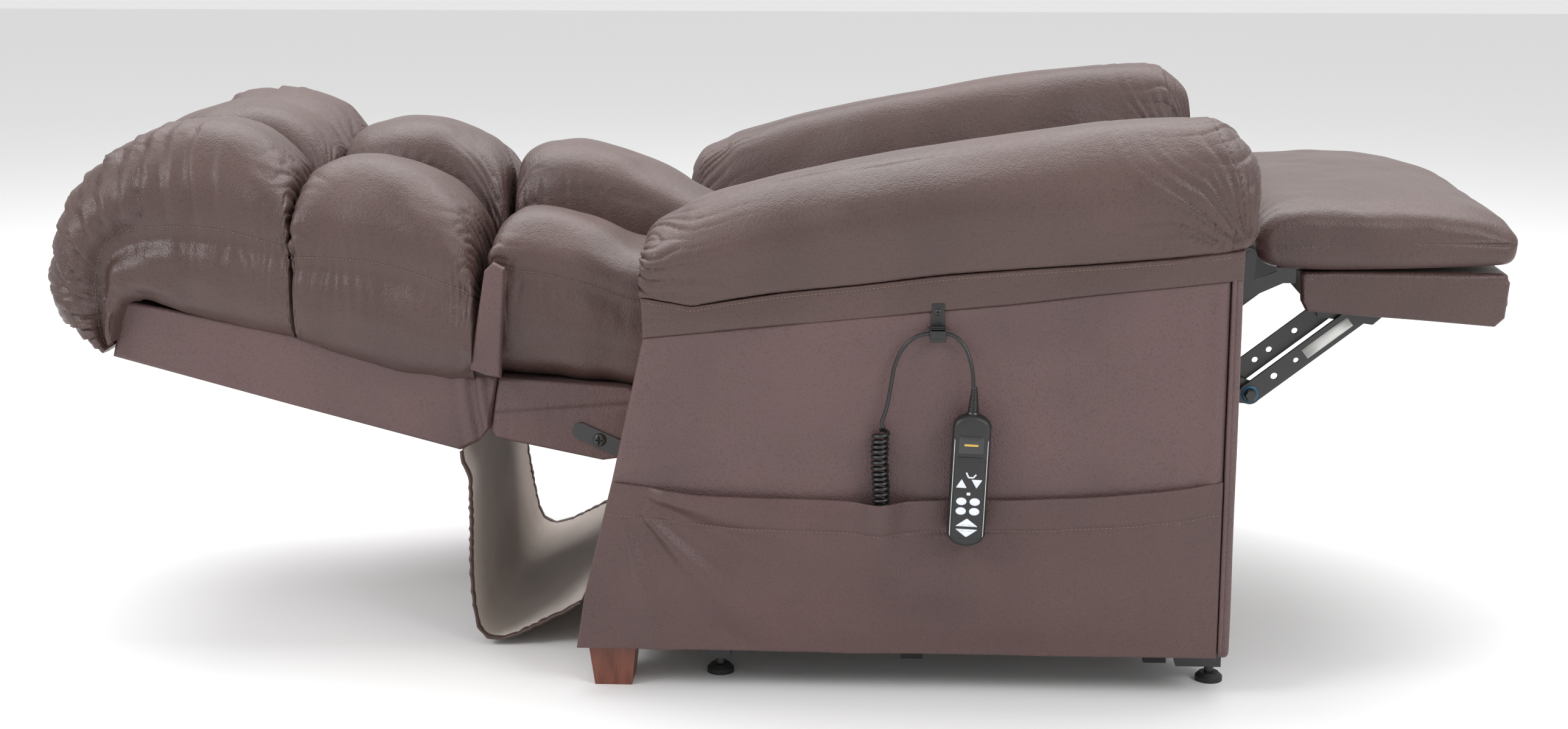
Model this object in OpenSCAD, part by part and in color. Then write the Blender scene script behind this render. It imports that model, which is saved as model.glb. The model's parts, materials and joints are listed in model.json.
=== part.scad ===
// Power lift recliner armchair, drawn fully reclined with the footrest out.
// Millimetres. +X points to the feet, +Z up, the handset side is -Y.
// The origin is on the floor under the middle of the chair.

/* [Body] */
// Half the overall width over the arm panels
half_w = 440; // [430:1:450]
// Half the clear width between the arms
arm_in = 272; // [270:1:276]
// Thickness of the wooden arm boards
board = 12; // [9:1:12]
// Height of the lower edge of the side panels above the floor
panel_z = 54; // [50:1:58]

/* [Lift base] */
// Side of the square tube in the floor frame
tube = 25; // [22:1:28]
// Half the distance between the floor frame's side rails
rail_y = 360; // [350:1:370]
// Radius of the round foot pads
pad_r = 17; // [14:1:22]
// Thickness of the flat lift bars
lift_bar_t = 8; // [6:1:8]
// Width of the flat lift bars
lift_bar_w = 32; // [26:1:34]

/* [Footrest] */
// Width of the flat footrest bars
link_w = 27; // [22:1:30]
// Thickness of the flat footrest bars
link_t = 6; // [4:1:6]
// Length of the two parallel footrest bars, hole to hole
link_len = 175; // [174:1:176]
// Slope of the two parallel footrest bars in degrees
link_slope = 38.3; // [38:0.1:39]
// Half the width of the padded footboard
foot_half = 266; // [250:1:268]

/* [Cushions] */
// Half the width of the seat cushion
seat_half = 255; // [240:1:256]
// Height of the seat cushion's flat top
seat_top = 532; // [520:1:535]
// Half the width of the back cushions above the arms
back_half = 272; // [262:1:276]
// Half the width of the back between the arms
back_low_half = 254; // [244:1:256]

/* [Handset] */
// Length of the handset
hs_len = 165; // [150:1:170]
// Width of the handset
hs_w = 48; // [44:1:52]
// Lean of the hanging handset in degrees
hs_tilt = 2.5; // [0:0.5:4]
// Diameter of the coil in the curly cord
coil_d = 23; // [20:1:24]
// Diameter of the handset cord
cord_d = 5; // [4:0.5:6]

/* [Hidden] */
$fn = 32;

// Hinge points as [x, z]
A0 = [111, 90];    // front lift bar on the floor frame
A1 = [391, 134];   // front lift bar on the chair
B0 = [-22, 90];    // rear lift bar on the floor frame
B1 = [336, 136];   // rear lift bar on the chair
PB = [-120, 420];  // backrest
P1 = [460, 400];   // footrest crank
Q = [618, 340];    // crank to lower bar
QU = [578, 344];   // crank to upper bar
K = [606, 525];    // chaise pad
function rot2(v, a) = [v[0] * cos(a) - v[1] * sin(a), v[0] * sin(a) + v[1] * cos(a)];
function unit2(v) = v / norm(v);
function dirv(a) = [cos(a), sin(a)];
S = Q + link_len * dirv(link_slope);
SU = QU + link_len * dirv(link_slope);
EL = A0 + 90 * dirv(61);     // lift lever eye
ML = [500, 98];              // lift motor pivot
EB = PB + 80 * dirv(-74);    // back lever eye
MB = [391, 240];             // back motor pivot
EF = P1 + 60 * dirv(-30);    // footrest lever eye
MF = [-55, 200];             // footrest motor pivot
pin_r = 5;
run = 0.08;                  // running clearance of a pin in its hole

// a flat outline in the XZ plane, given thickness from y0 to y1
module xz(y0, y1) { translate([0, y1, 0]) rotate([90, 0, 0]) linear_extrude(y1 - y0) children(); }
// a round bar along Y
module ybar(p, y0, y1, r) { translate([p[0], y1, p[1]]) rotate([90, 0, 0]) cylinder(h = y1 - y0, r = r, $fn = 40); }
// the same thing on both sides of the chair
module both() { children(); mirror([0, 1, 0]) children(); }
// outline of a flat bar with round ends
module bar2(p, q, w) {
  l = norm(q - p);
  translate(p) circle(w / 2, $fn = 40);
  translate(q) circle(w / 2, $fn = 40);
  translate(p) rotate(atan2(q[1] - p[1], q[0] - p[0])) translate([0, 0.4 - w / 2]) square([l, w - 0.8]);
}
module hole2(p, r) { translate(p) circle(r, $fn = 40); }
// things laid out along the line from p to q: X runs from p to q, Z stays up
module along(p, q, y) { translate([p[0], y, p[1]]) rotate([0, -atan2(q[1] - p[1], q[0] - p[0]), 0]) children(); }
module xtube(x0, x1, r) { translate([x0, 0, 0]) rotate([0, 90, 0]) cylinder(h = x1 - x0, r = r, $fn = 40); }

// ---------- floor frame ----------
module sqtube(l) { difference() { cube([l, tube, tube]); translate([-1, 2.5, 2.5]) cube([l + 2, tube - 5, tube - 5]); } }
module base_rails() color([0.05, 0.05, 0.05]) both() {
  translate([-75, rail_y - tube / 2, 45]) sqtube(621);
  translate([-32.5, 205.5, 45]) sqtube(550);
}
module base_cross_tubes() color([0.05, 0.05, 0.05]) for (x = [-45, 530])
  translate([x + tube / 2, -rail_y + tube / 2, 45]) rotate([0, 0, 90]) sqtube(2 * rail_y - tube);
module base_brackets() color([0.08, 0.08, 0.08]) {
  both() difference() {
    union() {
      xz(215, 221) polygon([[-45, 70], [135, 70], [128, 108], [-38, 108]]);
      ybar(A0, 203, 222.5, 6);
      ybar(B0, 213.5, 233, 6);
    }
  }
  // motor fork on the front cross tube
  for (y = [-30, 24]) xz(y, y + 6) polygon([[517.5, 50], [517.5, 112], [486, 112], [486, 84], [505, 50]]);
  ybar(ML, -24, 24, pin_r);
}
module foot_pads() color([0.04, 0.04, 0.04]) for (x = [-52, 563]) for (s = [-1, 1]) translate([x, s * rail_y, 0]) {
  cylinder(h = 6, r = pad_r, $fn = 48); translate([0, 0, 6]) cylinder(h = 5, r1 = pad_r, r2 = pad_r - 5, $fn = 48); }
module foot_posts() color([0.06, 0.06, 0.06]) for (x = [-52, 563]) for (s = [-1, 1]) translate([x, s * rail_y, 0]) {
  translate([0, 0, 11]) cylinder(h = 10, r = 6); translate([x > 0 ? -43 : -13, -13, 21]) cube([x > 0 ? 56 : 26, 26, 24]); }
module base_buffers() color([0.05, 0.05, 0.05]) for (x = [176, 480]) for (s = [-1, 1]) translate([x, s * rail_y - 10, 24]) cube([28, 20, 21]);

// ---------- lift bars ----------
module front_lift_arms() color([0.1, 0.1, 0.1]) {
  both() xz(204, 204 + lift_bar_t) difference() { bar2(A0, A1, lift_bar_w); hole2(A0, 6 + run); hole2(A1, 6 + run); }
  // cross tube welded between the bars, with the drive's lever
  difference() { ybar(A0, -204, 204, 12); ybar(A0, -210, 210, 9); }
  for (y = [-14, 10]) xz(y, y + 4) difference() { bar2(A0, EL, 24); hole2(A0, 11.9); hole2(EL, 7); }
}
module rear_lift_arms() color([0.1, 0.1, 0.1]) {
  both() {
    xz(224, 224 + lift_bar_t) difference() { bar2(B0, B1, lift_bar_w); hole2(B0, 6 + run); }
    ybar(B1, 232, 238, 6);
  }
}

// ---------- linear drives ----------
// body of a drive: gearbox at the pivot, motor beside it, long tube with a bore for the rod
module drive(len, bore_from) {
  difference() {
    union() {
      translate([-20, -20, -20]) cube([80, 40, 40]);
      translate([60, 0, 0]) xtube(-1, len - 60, 14);
      translate([len - 12, 0, 0]) xtube(0, 12, 17);
    }
    rotate([90, 0, 0]) translate([0, 0, -40]) cylinder(h = 80, r = pin_r + run, $fn = 40);
    translate([bore_from, 0, 0]) xtube(0, len + 50, 9.6);
  }
  translate([20, -54, -18]) rotate([-90, 0, 0]) translate([18, -18, 0]) cylinder(h = 34, r = 18, $fn = 40);
}
// rod of a drive: from inside the tube to the eye
module rod(x0, x1) {
  difference() {
    union() { xtube(x0, x1 - 10, 9.4); translate([x1, 0, 0]) rotate([90, 0, 0]) translate([0, 0, -8]) cylinder(h = 16, r = 13, $fn = 40); }
    translate([x1, 0, 0]) rotate([90, 0, 0]) translate([0, 0, -20]) cylinder(h = 40, r = 7, $fn = 40);
  }
}
module lift_motor() color([0.1, 0.1, 0.11]) along(ML, EL, 0) drive(250, 120);
module lift_rod() color([0.75, 0.75, 0.77]) along(ML, EL, 0) rod(160, norm(EL - ML));
module back_motor() color([0.1, 0.1, 0.11]) along(MB, EB, 70) drive(370, 220);
module back_rod() color([0.75, 0.75, 0.77]) along(MB, EB, 70) rod(250, norm(EB - MB));
module foot_motor() color([0.1, 0.1, 0.11]) along(MF, EF, -70) drive(440, 200);
module foot_rod() color([0.75, 0.75, 0.77]) along(MF, EF, -70) rod(330, norm(EF - MF));

// ---------- chair frame ----------
module chassis_side_plates() color([0.09, 0.09, 0.09]) both() difference() {
  xz(244, 250) difference() {
    polygon([[-190, 115], [500, 115], [500, 425], [420, 425], [380, 215], [-190, 215]]);
    hole2(P1, pin_r + 1 + run);
    for (x = [-120, 0, 120, 240]) hole2([x, 165], 16);
  }
}
module chassis_cross_tubes() color([0.09, 0.09, 0.09]) {
  translate([403.5, -244, 190]) rotate([0, 0, 90]) sqtube(488);
  translate([-42.5, -244, 146]) rotate([0, 0, 90]) sqtube(488);
  // lugs that carry the front lift bars, with their pins
  both() { xz(192, 198) polygon([[379, 190], [403, 190], [403, 118], [379, 118]]); ybar(A1, 192, 213.5, 6); }
  // forks for the two drives
  for (y = [46, 90.5]) xz(y, y + 3.5) polygon([[380, 215], [402, 215], [402, 252], [380, 252]]);
  ybar(MB, 46, 94, pin_r);
  for (y = [-94, -49.5]) xz(y, y + 3.5) polygon([[-67, 171], [-44, 171], [-44, 210], [-67, 210]]);
  ybar(MF, -94, -46, pin_r);
}
module back_hinge_posts() color([0.09, 0.09, 0.09]) both() {
  xz(258, 262) difference() { union() { bar2([-150, 190], PB, 34); translate([-180, 120]) square([60, 90]); } hole2(PB, 6 + run); }
  xz(250, 258) translate([-178, 122]) square([50, 70]);
}
module pad_hinge_plates() color([0.06, 0.06, 0.06]) both() {
  xz(258, 262) union() { bar2([590, 470], K, 24); bar2([590, 470], [505, 437], 22); }
  ybar(K, 262, 269, pin_r);
}
panel = [[-225, panel_z], [-214, 122], [-178, 267], [-137, 450], [560, 526], [562, panel_z]];
module arm_inner_panels() color([0.7, 0.55, 0.38]) both() xz(arm_in, arm_in + board) polygon([[-190, 100], [-175, 267], [-130, 484], [-80, 487], [20, 501], [140, 513], [300, 530], [460, 544], [545, 550], [560, 550], [560, 100]]);
module arm_end_boards() color([0.7, 0.55, 0.38]) both() {
  translate([548, arm_in + board, 74]) cube([board, half_w - arm_in - board - 14, 448]);
  xz(arm_in + board, half_w - 14) polygon([[-214, 66], [-202, 122], [-166, 267], [-128, 440], [-116, 438], [-154, 265], [-190, 120], [-202, 66]]);
}
module side_panels() color([0.34, 0.23, 0.22]) both() xz(half_w - 14, half_w) polygon(panel);
// the far side has the plain pocket, the handset side is open where the cord drops in
hem = [[-178, 266], [-60, 257], [60, 253], [180, 253], [300, 258], [420, 265], [561, 277]];
module pocket2() polygon(concat(hem, [[561, panel_z + 1], [-223, panel_z + 1], [-214, 122]]));
module side_pockets() color([0.36, 0.24, 0.23]) {
  xz(half_w, half_w + 4) pocket2();
  difference() { xz(-half_w - 4, -half_w) pocket2(); translate([136, -half_w - 6, 190]) cube([27, 8, 90]); }
}
module arm_front_facings() color([0.34, 0.23, 0.22]) both() translate([562, arm_in + 2, panel_z]) cube([14, half_w - arm_in - 3, 500]);
// upper outline of an arm pad at station x, and its underside
arm_x = [-134, -80, 20, 140, 300, 460, 545, 582];
arm_top = [560, 596, 630, 656, 684, 702, 702, 670];
arm_bot = [500, 492, 506, 518, 535, 549, 560, 598];
module arm_slice(i) {
  h = arm_top[i] - arm_bot[i];
  translate([arm_x[i], 0, 0]) rotate([90, 0, 90]) linear_extrude(1) translate([0, arm_bot[i]]) hull() {
    translate([arm_in + 10, h * 0.45]) circle(9, $fn = 16);
    translate([half_w - 16, h * 0.42]) circle(14, $fn = 16);
    translate([half_w - 30, 2]) square([20, 1]);
    translate([arm_in + 8, 2]) square([20, 1]);
    translate([arm_in + 80, h - 30]) scale([1.6, 1]) circle(30, $fn = 24);
  }
}
// rolled pad and the plain band of its cover below it
module arm_pads() color([0.38, 0.26, 0.25]) both() {
  for (i = [0:6]) hull() { arm_slice(i); arm_slice(i + 1); }
  xz(half_w - 13, half_w - 1) polygon([[-136, 451], [558, 527], [560.5, 556], [495, 549], [300, 536], [140, 519], [20, 507], [-80, 493], [-134, 501]]);
}
module wooden_legs() color([0.42, 0.2, 0.15]) both() translate([-182, 394, 0]) hull() {
  translate([-23, -23, 0]) cube([46, 46, 1]); translate([-30, -30, 58]) cube([60, 60, 4]); }
module rear_stretcher() color([0.05, 0.05, 0.05]) { translate([-212, -284, 62]) cube([14, 568, 46]); translate([-214, -270, 66]) cube([2, 540, 36]); }

// ---------- seat ----------
module seat_frame() color([0.7, 0.55, 0.38]) {
  both() translate([72, 236, 425]) cube([433, 22, 25]);
  translate([483, -236, 425]) cube([22, 472, 25]);
  translate([72, -236, 425]) cube([22, 472, 25]);
  // elastic webbing between the side rails
  for (x = [120:80:440]) translate([x, -235.9, 447]) cube([50, 471.8, 2]);
}
module seat_cushion() color([0.38, 0.26, 0.25]) xz(-seat_half, seat_half) difference() {
  polygon([[30, 452], [589, 452], [591, 505], [594, 509], [601, 515], [602, 520], [585, seat_top + 8], [400, seat_top + 2], [200, seat_top - 4], [20, seat_top - 8]]);
  translate(PB) circle(187, $fn = 96);
}
module control_box() color([0.08, 0.08, 0.08]) { translate([120, -224, 330]) cube([130, 70, 38]);
  for (x = [130, 232]) translate([x, -236, 340]) cube([8, 14, 85]);
  translate([118, -200, 340]) cube([2, 24, 18]); }

// ---------- backrest ----------
module back_shell() color([0.34, 0.23, 0.22]) {
  xz(-264, 264) polygon([[-846, 381], [-396, 262], [-358, 290], [-345, 357], [-826, 450]]);
  xz(-back_low_half, back_low_half) polygon([[-357, 290.5], [-352, 278], [-211, 250], [-180, 254], [-150, 330], [-176, 345], [-344, 356]]);
}
head_side = [[-826, 452], [-604, 410], [-590, 600], [-610, 620], [-650, 655], [-720, 674], [-795, 658], [-849, 626], [-890, 590], [-922, 538], [-931, 470], [-926, 448], [-902, 428], [-883, 402], [-853, 384]];
mid_side = [[-602, 410], [-358, 362], [-366, 470], [-383, 545], [-428, 600], [-509, 625], [-570, 618], [-588, 598]];
lum_side = [[-354, 361], [-343, 358], [-176, 347], [-149, 332], [-62, 294], [30, 334], [59, 400], [55, 450], [18, 530], [-60, 546], [-170, 556], [-265, 556], [-347, 556], [-360, 470]];
lum_mid = [[-354, 361], [-343, 358], [-176, 347], [-149, 332], [-62, 294], [30, 334], [59, 400], [55, 450], [18, 530], [-40, 558], [-103, 572], [-162, 592], [-248, 600], [-313, 600], [-360, 590], [-361, 470]];
module three(y1, y2, side, mid) { xz(-y1, y1) polygon(mid); both() xz(y1 + 0.5, y2) polygon(side); }
module head_cushions() color([0.38, 0.26, 0.25]) three(90, back_half, head_side, head_side);
module middle_cushions() color([0.38, 0.26, 0.25]) three(90, back_half, mid_side, mid_side);
// what the lever and the rod pass through as the back rises
module lever_space() {
  bar2([-139, 352], EB, 24);
  // seen from the backrest, the rod and the nose of its housing swing round the pivot
  d = unit2(EB - MB);
  for (a = [0:6.2:55.8]) {
    hull() for (b = [a, a + 6.2]) bar2(PB + rot2(EB + d * 82.3 * b / 62 - PB, b), PB + rot2(MB + d * 190 - PB, b), 34);
    hull() for (b = [a, a + 6.2]) bar2(PB + rot2(MB + d * 150 - PB, b), PB + rot2(MB + d * 224 - PB, b), 50);
  }
}
module lumbar_cushions() color([0.38, 0.26, 0.25]) intersection() {
  difference() {
    three(85, back_low_half, lum_side, lum_mid);
    // slot for the lever and rod of the drive
    xz(45, 95) offset(delta = 3) lever_space();
    // pockets for the hinge arms
    both() xz(256, 300) offset(delta = 1.5) union() { bar2([-238, 288], [-166, 256], 22); bar2([-166, 256], PB, 22); }
  }
  xz(-300, 300) union() { translate(PB) circle(181, $fn = 96); polygon([[-400, 250], [-120, 250], [-120, 620], [-400, 620]]); translate([-121, 420]) square([70, 175]); }
}
module back_hinge_arms() color([0.05, 0.05, 0.05]) {
  both() {
    xz(264.5, 268.5) union() { bar2([-238, 288], [-166, 256], 22); bar2([-166, 256], PB, 22); }
    ybar(PB, 256.5, 264.5, 6);
  }
  // lever for the drive, bolted inside the lower shell
  for (y = [56, 80]) xz(y, y + 4) difference() { bar2([-139, 352], EB, 22); hole2(EB, 7); }
}
module bracket_bolts() color([0.1, 0.1, 0.1]) both() ybar([-214, 277], 268.5, 270.6, 8);
// hanging fabric panel behind the back: a strip along a chain of points
dr = [[-392, 262], [-394, 200], [-391, 130], [-386, 62], [-378, 22], [-362, 7], [-338, 8], [-310, 20], [-276, 40], [-240, 62]];
function dn(i) = let (a = dr[max(0, i - 1)], b = dr[min(len(dr) - 1, i + 1)], d = (b - a) / norm(b - a)) [-d[1], d[0]];
module back_drape() color([0.6, 0.52, 0.46]) xz(-278, 278) polygon(concat([for (i = [0:len(dr) - 1]) dr[i] + 1.5 * dn(i)], [for (i = [len(dr) - 1:-1:0]) dr[i] - 1.5 * dn(i)]));

// ---------- footrest ----------
module foot_cranks() color([0.06, 0.06, 0.06]) {
  both() {
    xz(222, 222 + link_t) difference() { union() { bar2(P1, Q, 30); bar2(QU, Q, 30); } hole2(Q, pin_r + run); hole2(P1, 8); }
    ybar(P1, 221, 251, pin_r + 1);
    ybar(P1, 221, 228, 8);
    ybar(QU, 212.5, 222, pin_r);
  }
  ybar(P1, -221, 221, 12);
  for (y = [-84, -60]) xz(y, y + 4) bar2(P1, EF, 24);
}
module foot_lower_links() color([0.06, 0.06, 0.06]) both() xz(230, 230 + link_t) difference() {
  bar2(Q, S, link_w); hole2(Q, pin_r + run); hole2(S, pin_r + run);
  hole2(Q + 38 * dirv(link_slope), 4.5); hole2(Q + 72 * dirv(link_slope), 3.5);
}
module foot_link_bolts() color([0.1, 0.25, 0.4]) both() {
  ybar(Q, 220, 236, pin_r); ybar(Q, 236, 237.2, 10); ybar(Q, 237.2, 241, 8); ybar(Q, 219, 221.8, 8);
}
module foot_upper_links() color([0.06, 0.06, 0.06]) both() xz(214, 214 + link_t) difference() {
  bar2(QU, SU, link_w); hole2(QU, pin_r + run); hole2(SU, pin_r + 1);
  for (d = [60, 82, 122]) hole2(QU + d * dirv(link_slope), 4);
}
module footboard() color([0.36, 0.24, 0.23]) {
  xz(-foot_half, foot_half) polygon([[670, 502], [673, 470], [928, 462], [930, 480], [926, 504], [676, 504]]);
  both() xz(foot_half - 12, foot_half) polygon([[673.5, 469.9], [680, 453], [916, 436], [928, 461.9]]);
  xz(-foot_half + 12, foot_half - 12) polygon([[912, 462.3], [908, 436], [916, 436], [928, 461.9]]);
}
module footboard_brackets() color([0.06, 0.06, 0.06]) both() {
  xz(222, 222 + link_t) difference() { polygon([[700, 440], [770, 430], [790, 448], [790, 466.2], [696, 469.1]]); hole2([735, 458], 2.6); }
  ybar(S, 228, 237, pin_r);
  ybar(SU, 213, 222, pin_r);
}
module chaise_pad() color([0.38, 0.26, 0.25]) difference() {
  xz(-280, 280) polygon([[619, 530], [624, 512], [700, 510], [925, 514], [932, 540], [928, 560], [900, 580], [800, 588], [680, 588], [630, 580], [619, 560]]);
  // slots in the underside for the hinge plates
  both() xz(256.5, 263.5) for (a = [0:15:75]) hull() for (b = [a, a + 15]) bar2(K + rot2([590, 470] - K, b), K, 27);
}
module pad_hinge_arms() color([0.06, 0.06, 0.06]) both() {
  xz(264, 268) difference() { union() { bar2(K, [602, 478], 18); bar2([602, 478], [650, 500], 18); translate([640, 490]) square([24, 20]); } hole2(K, pin_r + run); }
}

// ---------- handset and cord ----------
clip_p = [216, 459];
hs_top = [259, 366];   // top centre of the handset, where the cord enters
coil_x = 149.5;
coil_y = -half_w - 15;
module handset_clip() color([0.05, 0.05, 0.05]) {
  translate([208, -half_w - 4, 462]) cube([16, 4, 32]);
  difference() { translate([206, -half_w - 17, 450]) cube([20, 17, 12]);
    translate([200, -half_w - 13, 459]) rotate([0, 90, 0]) cylinder(h = 40, r = cord_d / 2 + 0.6); translate([200, -half_w - 11, 455.5]) cube([40, 8, 7]); }
}
module clip_screw() color([0.5, 0.5, 0.52]) translate([216, -half_w - 4, 483]) rotate([90, 0, 0]) cylinder(h = 2, r = 4, $fn = 40);
module cord_grommet() color([0.05, 0.05, 0.05]) translate([coil_x, -half_w, 205]) rotate([90, 0, 0]) difference() { cylinder(h = 2.5, r = 8, $fn = 40); translate([0, 0, -1]) cylinder(h = 5, r = 2.7, $fn = 40); }
// a round tube swept along a chain of points
function unit(v) = v / norm(v);
function tang(p, i) = unit(p[min(len(p) - 1, i + 1)] - p[max(0, i - 1)]);
function side(t) = let (s = cross(t, [0.13, 1, 0.07])) unit(s);
module sweep(p, r, n = 10) {
  m = len(p);
  pts = [for (i = [0:m - 1]) let (t = tang(p, i), u = side(t), v = cross(t, u)) for (k = [0:n - 1]) p[i] + r * (cos(360 * k / n) * u + sin(360 * k / n) * v)];
  polyhedron(pts, concat([[for (k = [n - 1:-1:0]) k]], [for (i = [0:m - 2]) for (k = [0:n - 1]) let (a = i * n + k, b = i * n + (k + 1) % n) each [[a, b, b + n], [a, b + n, a + n]]], [[for (k = [0:n - 1]) (m - 1) * n + k]]));
}
low_route = [[coil_x, -442.6, 205], [coil_x, -446, 205], [coil_x, -450, 206], [coil_x, -453.5, 209], [coil_x, -455, 213], [coil_x, -455, 218]];
up_route = [[coil_x, -455, 343], [151, -455, 352], [154.5, -455, 364], [158, -455, 378], [160.5, -454.5, 392], [162.5, -454, 406], [165.5, -453.5, 420], [170, -453, 432], [176.5, -453, 443], [185, -453, 451.5], [195, -453, 457], [206, -453, 459], [216.4, -453, 459]];
right_route = [[216.6, -453, 459], [226, -453, 459], [235, -453.5, 456.5], [243, -455, 450.5], [249.5, -457, 442], [254, -459.5, 431], [257, -462, 419], [258.5, -464, 407], [hs_top[0], -465, 396]];
module cord_coil() color([0.04, 0.04, 0.04]) translate([coil_x, coil_y, 218]) cylinder(h = 125, r = coil_d / 2, $fn = 40);
module cord_tube() color([0.04, 0.04, 0.04]) { sweep(low_route, cord_d / 2); sweep(up_route, cord_d / 2); }
module cord_drop() color([0.04, 0.04, 0.04]) sweep(right_route, cord_d / 2);
// everything on the handset hangs from its top centre
module on_handset() translate([hs_top[0], -465, hs_top[1]]) rotate([0, hs_tilt, 0]) children();
module hs_outline(g) { w = hs_w / 2 - g; translate([0, -16 - g / 3]) scale([1, 0.66]) circle(w, $fn = 48); translate([0, -hs_len + 18 + g / 3]) scale([1, 0.72]) circle(w, $fn = 48); translate([-w, -hs_len + 18]) square([2 * w, hs_len - 34]); }
module key_holes() {
  for (s = [-1, 1]) translate([s * 9, -84]) square([14.6, 12.6], center = true);
  for (s = [-1, 1]) for (z = [-106, -118]) translate([s * 8, z]) circle(5.8, $fn = 32);
  for (s = [0, 1]) translate([0, -132 - 13 * s]) square([29, 11], center = true);
}
module handset_shell() color([0.05, 0.05, 0.05]) on_handset() difference() {
  union() {
    translate([0, 12.5, 0]) rotate([90, 0, 0]) linear_extrude(24) hs_outline(1);
    translate([0, 0, -1]) cylinder(h = 31, r1 = 7, r2 = 4, $fn = 40);
  }
  // wells that the keys sink into
  translate([0, key_y + 1.6, 0]) rotate([90, 0, 0]) linear_extrude(6) key_holes();
}
// raised key panel with a window for every key
key_y = -11.5;
module handset_keypad() color([0.09, 0.09, 0.09]) on_handset() translate([0, key_y, 0]) rotate([90, 0, 0]) linear_extrude(1.2) difference() {
  translate([-18, -hs_len + 12]) square([36, hs_len - 52]);
  key_holes();
}
module key(x, z) on_handset() translate([x, key_y, z]) rotate([90, 0, 0]) linear_extrude(2.8) children();
module arrow_up_key() color([0.85, 0.85, 0.85]) key(-9, -84) polygon([[-6.5, -5], [6.5, -5], [0, 5.5]]);
module arrow_down_key() color([0.85, 0.85, 0.85]) key(9, -84) polygon([[-6.5, 5], [6.5, 5], [0, -5.5]]);
module memory_key_1() color([0.85, 0.85, 0.85]) key(-8, -106) circle(5, $fn = 32);
module memory_key_2() color([0.85, 0.85, 0.85]) key(8, -106) circle(5, $fn = 32);
module memory_key_3() color([0.85, 0.85, 0.85]) key(-8, -118) circle(5, $fn = 32);
module memory_key_4() color([0.85, 0.85, 0.85]) key(8, -118) circle(5, $fn = 32);
module rise_key() color([0.85, 0.85, 0.85]) key(0, -132) polygon([[-13, -4.5], [13, -4.5], [0, 4.5]]);
module recline_key() color([0.85, 0.85, 0.85]) key(0, -145) polygon([[-13, 4.5], [13, 4.5], [0, -4.5]]);

base_rails();
base_cross_tubes();
base_brackets();
foot_pads();
foot_posts();
base_buffers();
front_lift_arms();
rear_lift_arms();
lift_motor();
lift_rod();
chassis_side_plates();
chassis_cross_tubes();
back_hinge_posts();
pad_hinge_plates();
arm_inner_panels();
arm_end_boards();
side_panels();
side_pockets();
arm_front_facings();
arm_pads();
wooden_legs();
rear_stretcher();
seat_frame();
seat_cushion();
control_box();
back_motor();
foot_motor();
back_shell();
head_cushions();
middle_cushions();
lumbar_cushions();
back_hinge_arms();
bracket_bolts();
back_drape();
back_rod();
foot_cranks();
foot_rod();
foot_lower_links();
foot_link_bolts();
foot_upper_links();
footboard();
footboard_brackets();
chaise_pad();
pad_hinge_arms();
handset_clip();
clip_screw();
cord_grommet();
cord_tube();
cord_coil();
cord_drop();
handset_shell();
handset_keypad();
arrow_up_key();
arrow_down_key();
memory_key_1();
memory_key_2();
memory_key_3();
memory_key_4();
rise_key();
recline_key();
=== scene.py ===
import bpy, bmesh, math, json
import numpy as np
from mathutils import Vector, Matrix


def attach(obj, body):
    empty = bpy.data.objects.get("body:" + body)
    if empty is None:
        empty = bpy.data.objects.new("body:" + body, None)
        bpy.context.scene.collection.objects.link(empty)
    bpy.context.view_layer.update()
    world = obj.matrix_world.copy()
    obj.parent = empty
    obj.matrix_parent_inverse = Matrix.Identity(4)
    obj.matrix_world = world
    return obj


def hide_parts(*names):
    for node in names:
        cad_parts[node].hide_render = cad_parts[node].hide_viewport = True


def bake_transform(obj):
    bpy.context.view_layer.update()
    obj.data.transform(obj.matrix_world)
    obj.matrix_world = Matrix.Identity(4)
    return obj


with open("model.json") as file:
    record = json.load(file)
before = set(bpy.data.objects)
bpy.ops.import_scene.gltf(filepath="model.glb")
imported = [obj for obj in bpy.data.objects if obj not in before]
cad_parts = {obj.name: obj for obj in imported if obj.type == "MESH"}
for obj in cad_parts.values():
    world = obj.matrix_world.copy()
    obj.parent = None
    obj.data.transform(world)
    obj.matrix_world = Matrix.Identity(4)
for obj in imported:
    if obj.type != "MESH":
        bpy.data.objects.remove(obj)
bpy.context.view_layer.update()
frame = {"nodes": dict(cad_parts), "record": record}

SC = bpy.context.scene
NODES = frame["nodes"]

# ------------------------------------------------------------------ camera
YAW, PITCH = math.radians(2.966), math.radians(12.331)
cam_d = bpy.data.cameras.new("camera")
cam = bpy.data.objects.new("camera", cam_d)
SC.collection.objects.link(cam)
cam.location = (0.176, -3.20706, 1.02232)
cam.rotation_euler = (math.pi / 2 - PITCH, 0.0, YAW)
cam_d.sensor_width = 36.0
cam_d.lens = 54.306
cam_d.clip_end = 200
SC.camera = cam
SC.view_settings.view_transform = "Standard"


# ------------------------------------------------------------------ helpers
def fade(t):
    return t * t * t * (t * (t * 6 - 15) + 10)


def smooth(a, b, x):
    t = np.clip((np.asarray(x, float) - a) / (b - a), 0, 1)
    return t * t * (3 - 2 * t)


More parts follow.
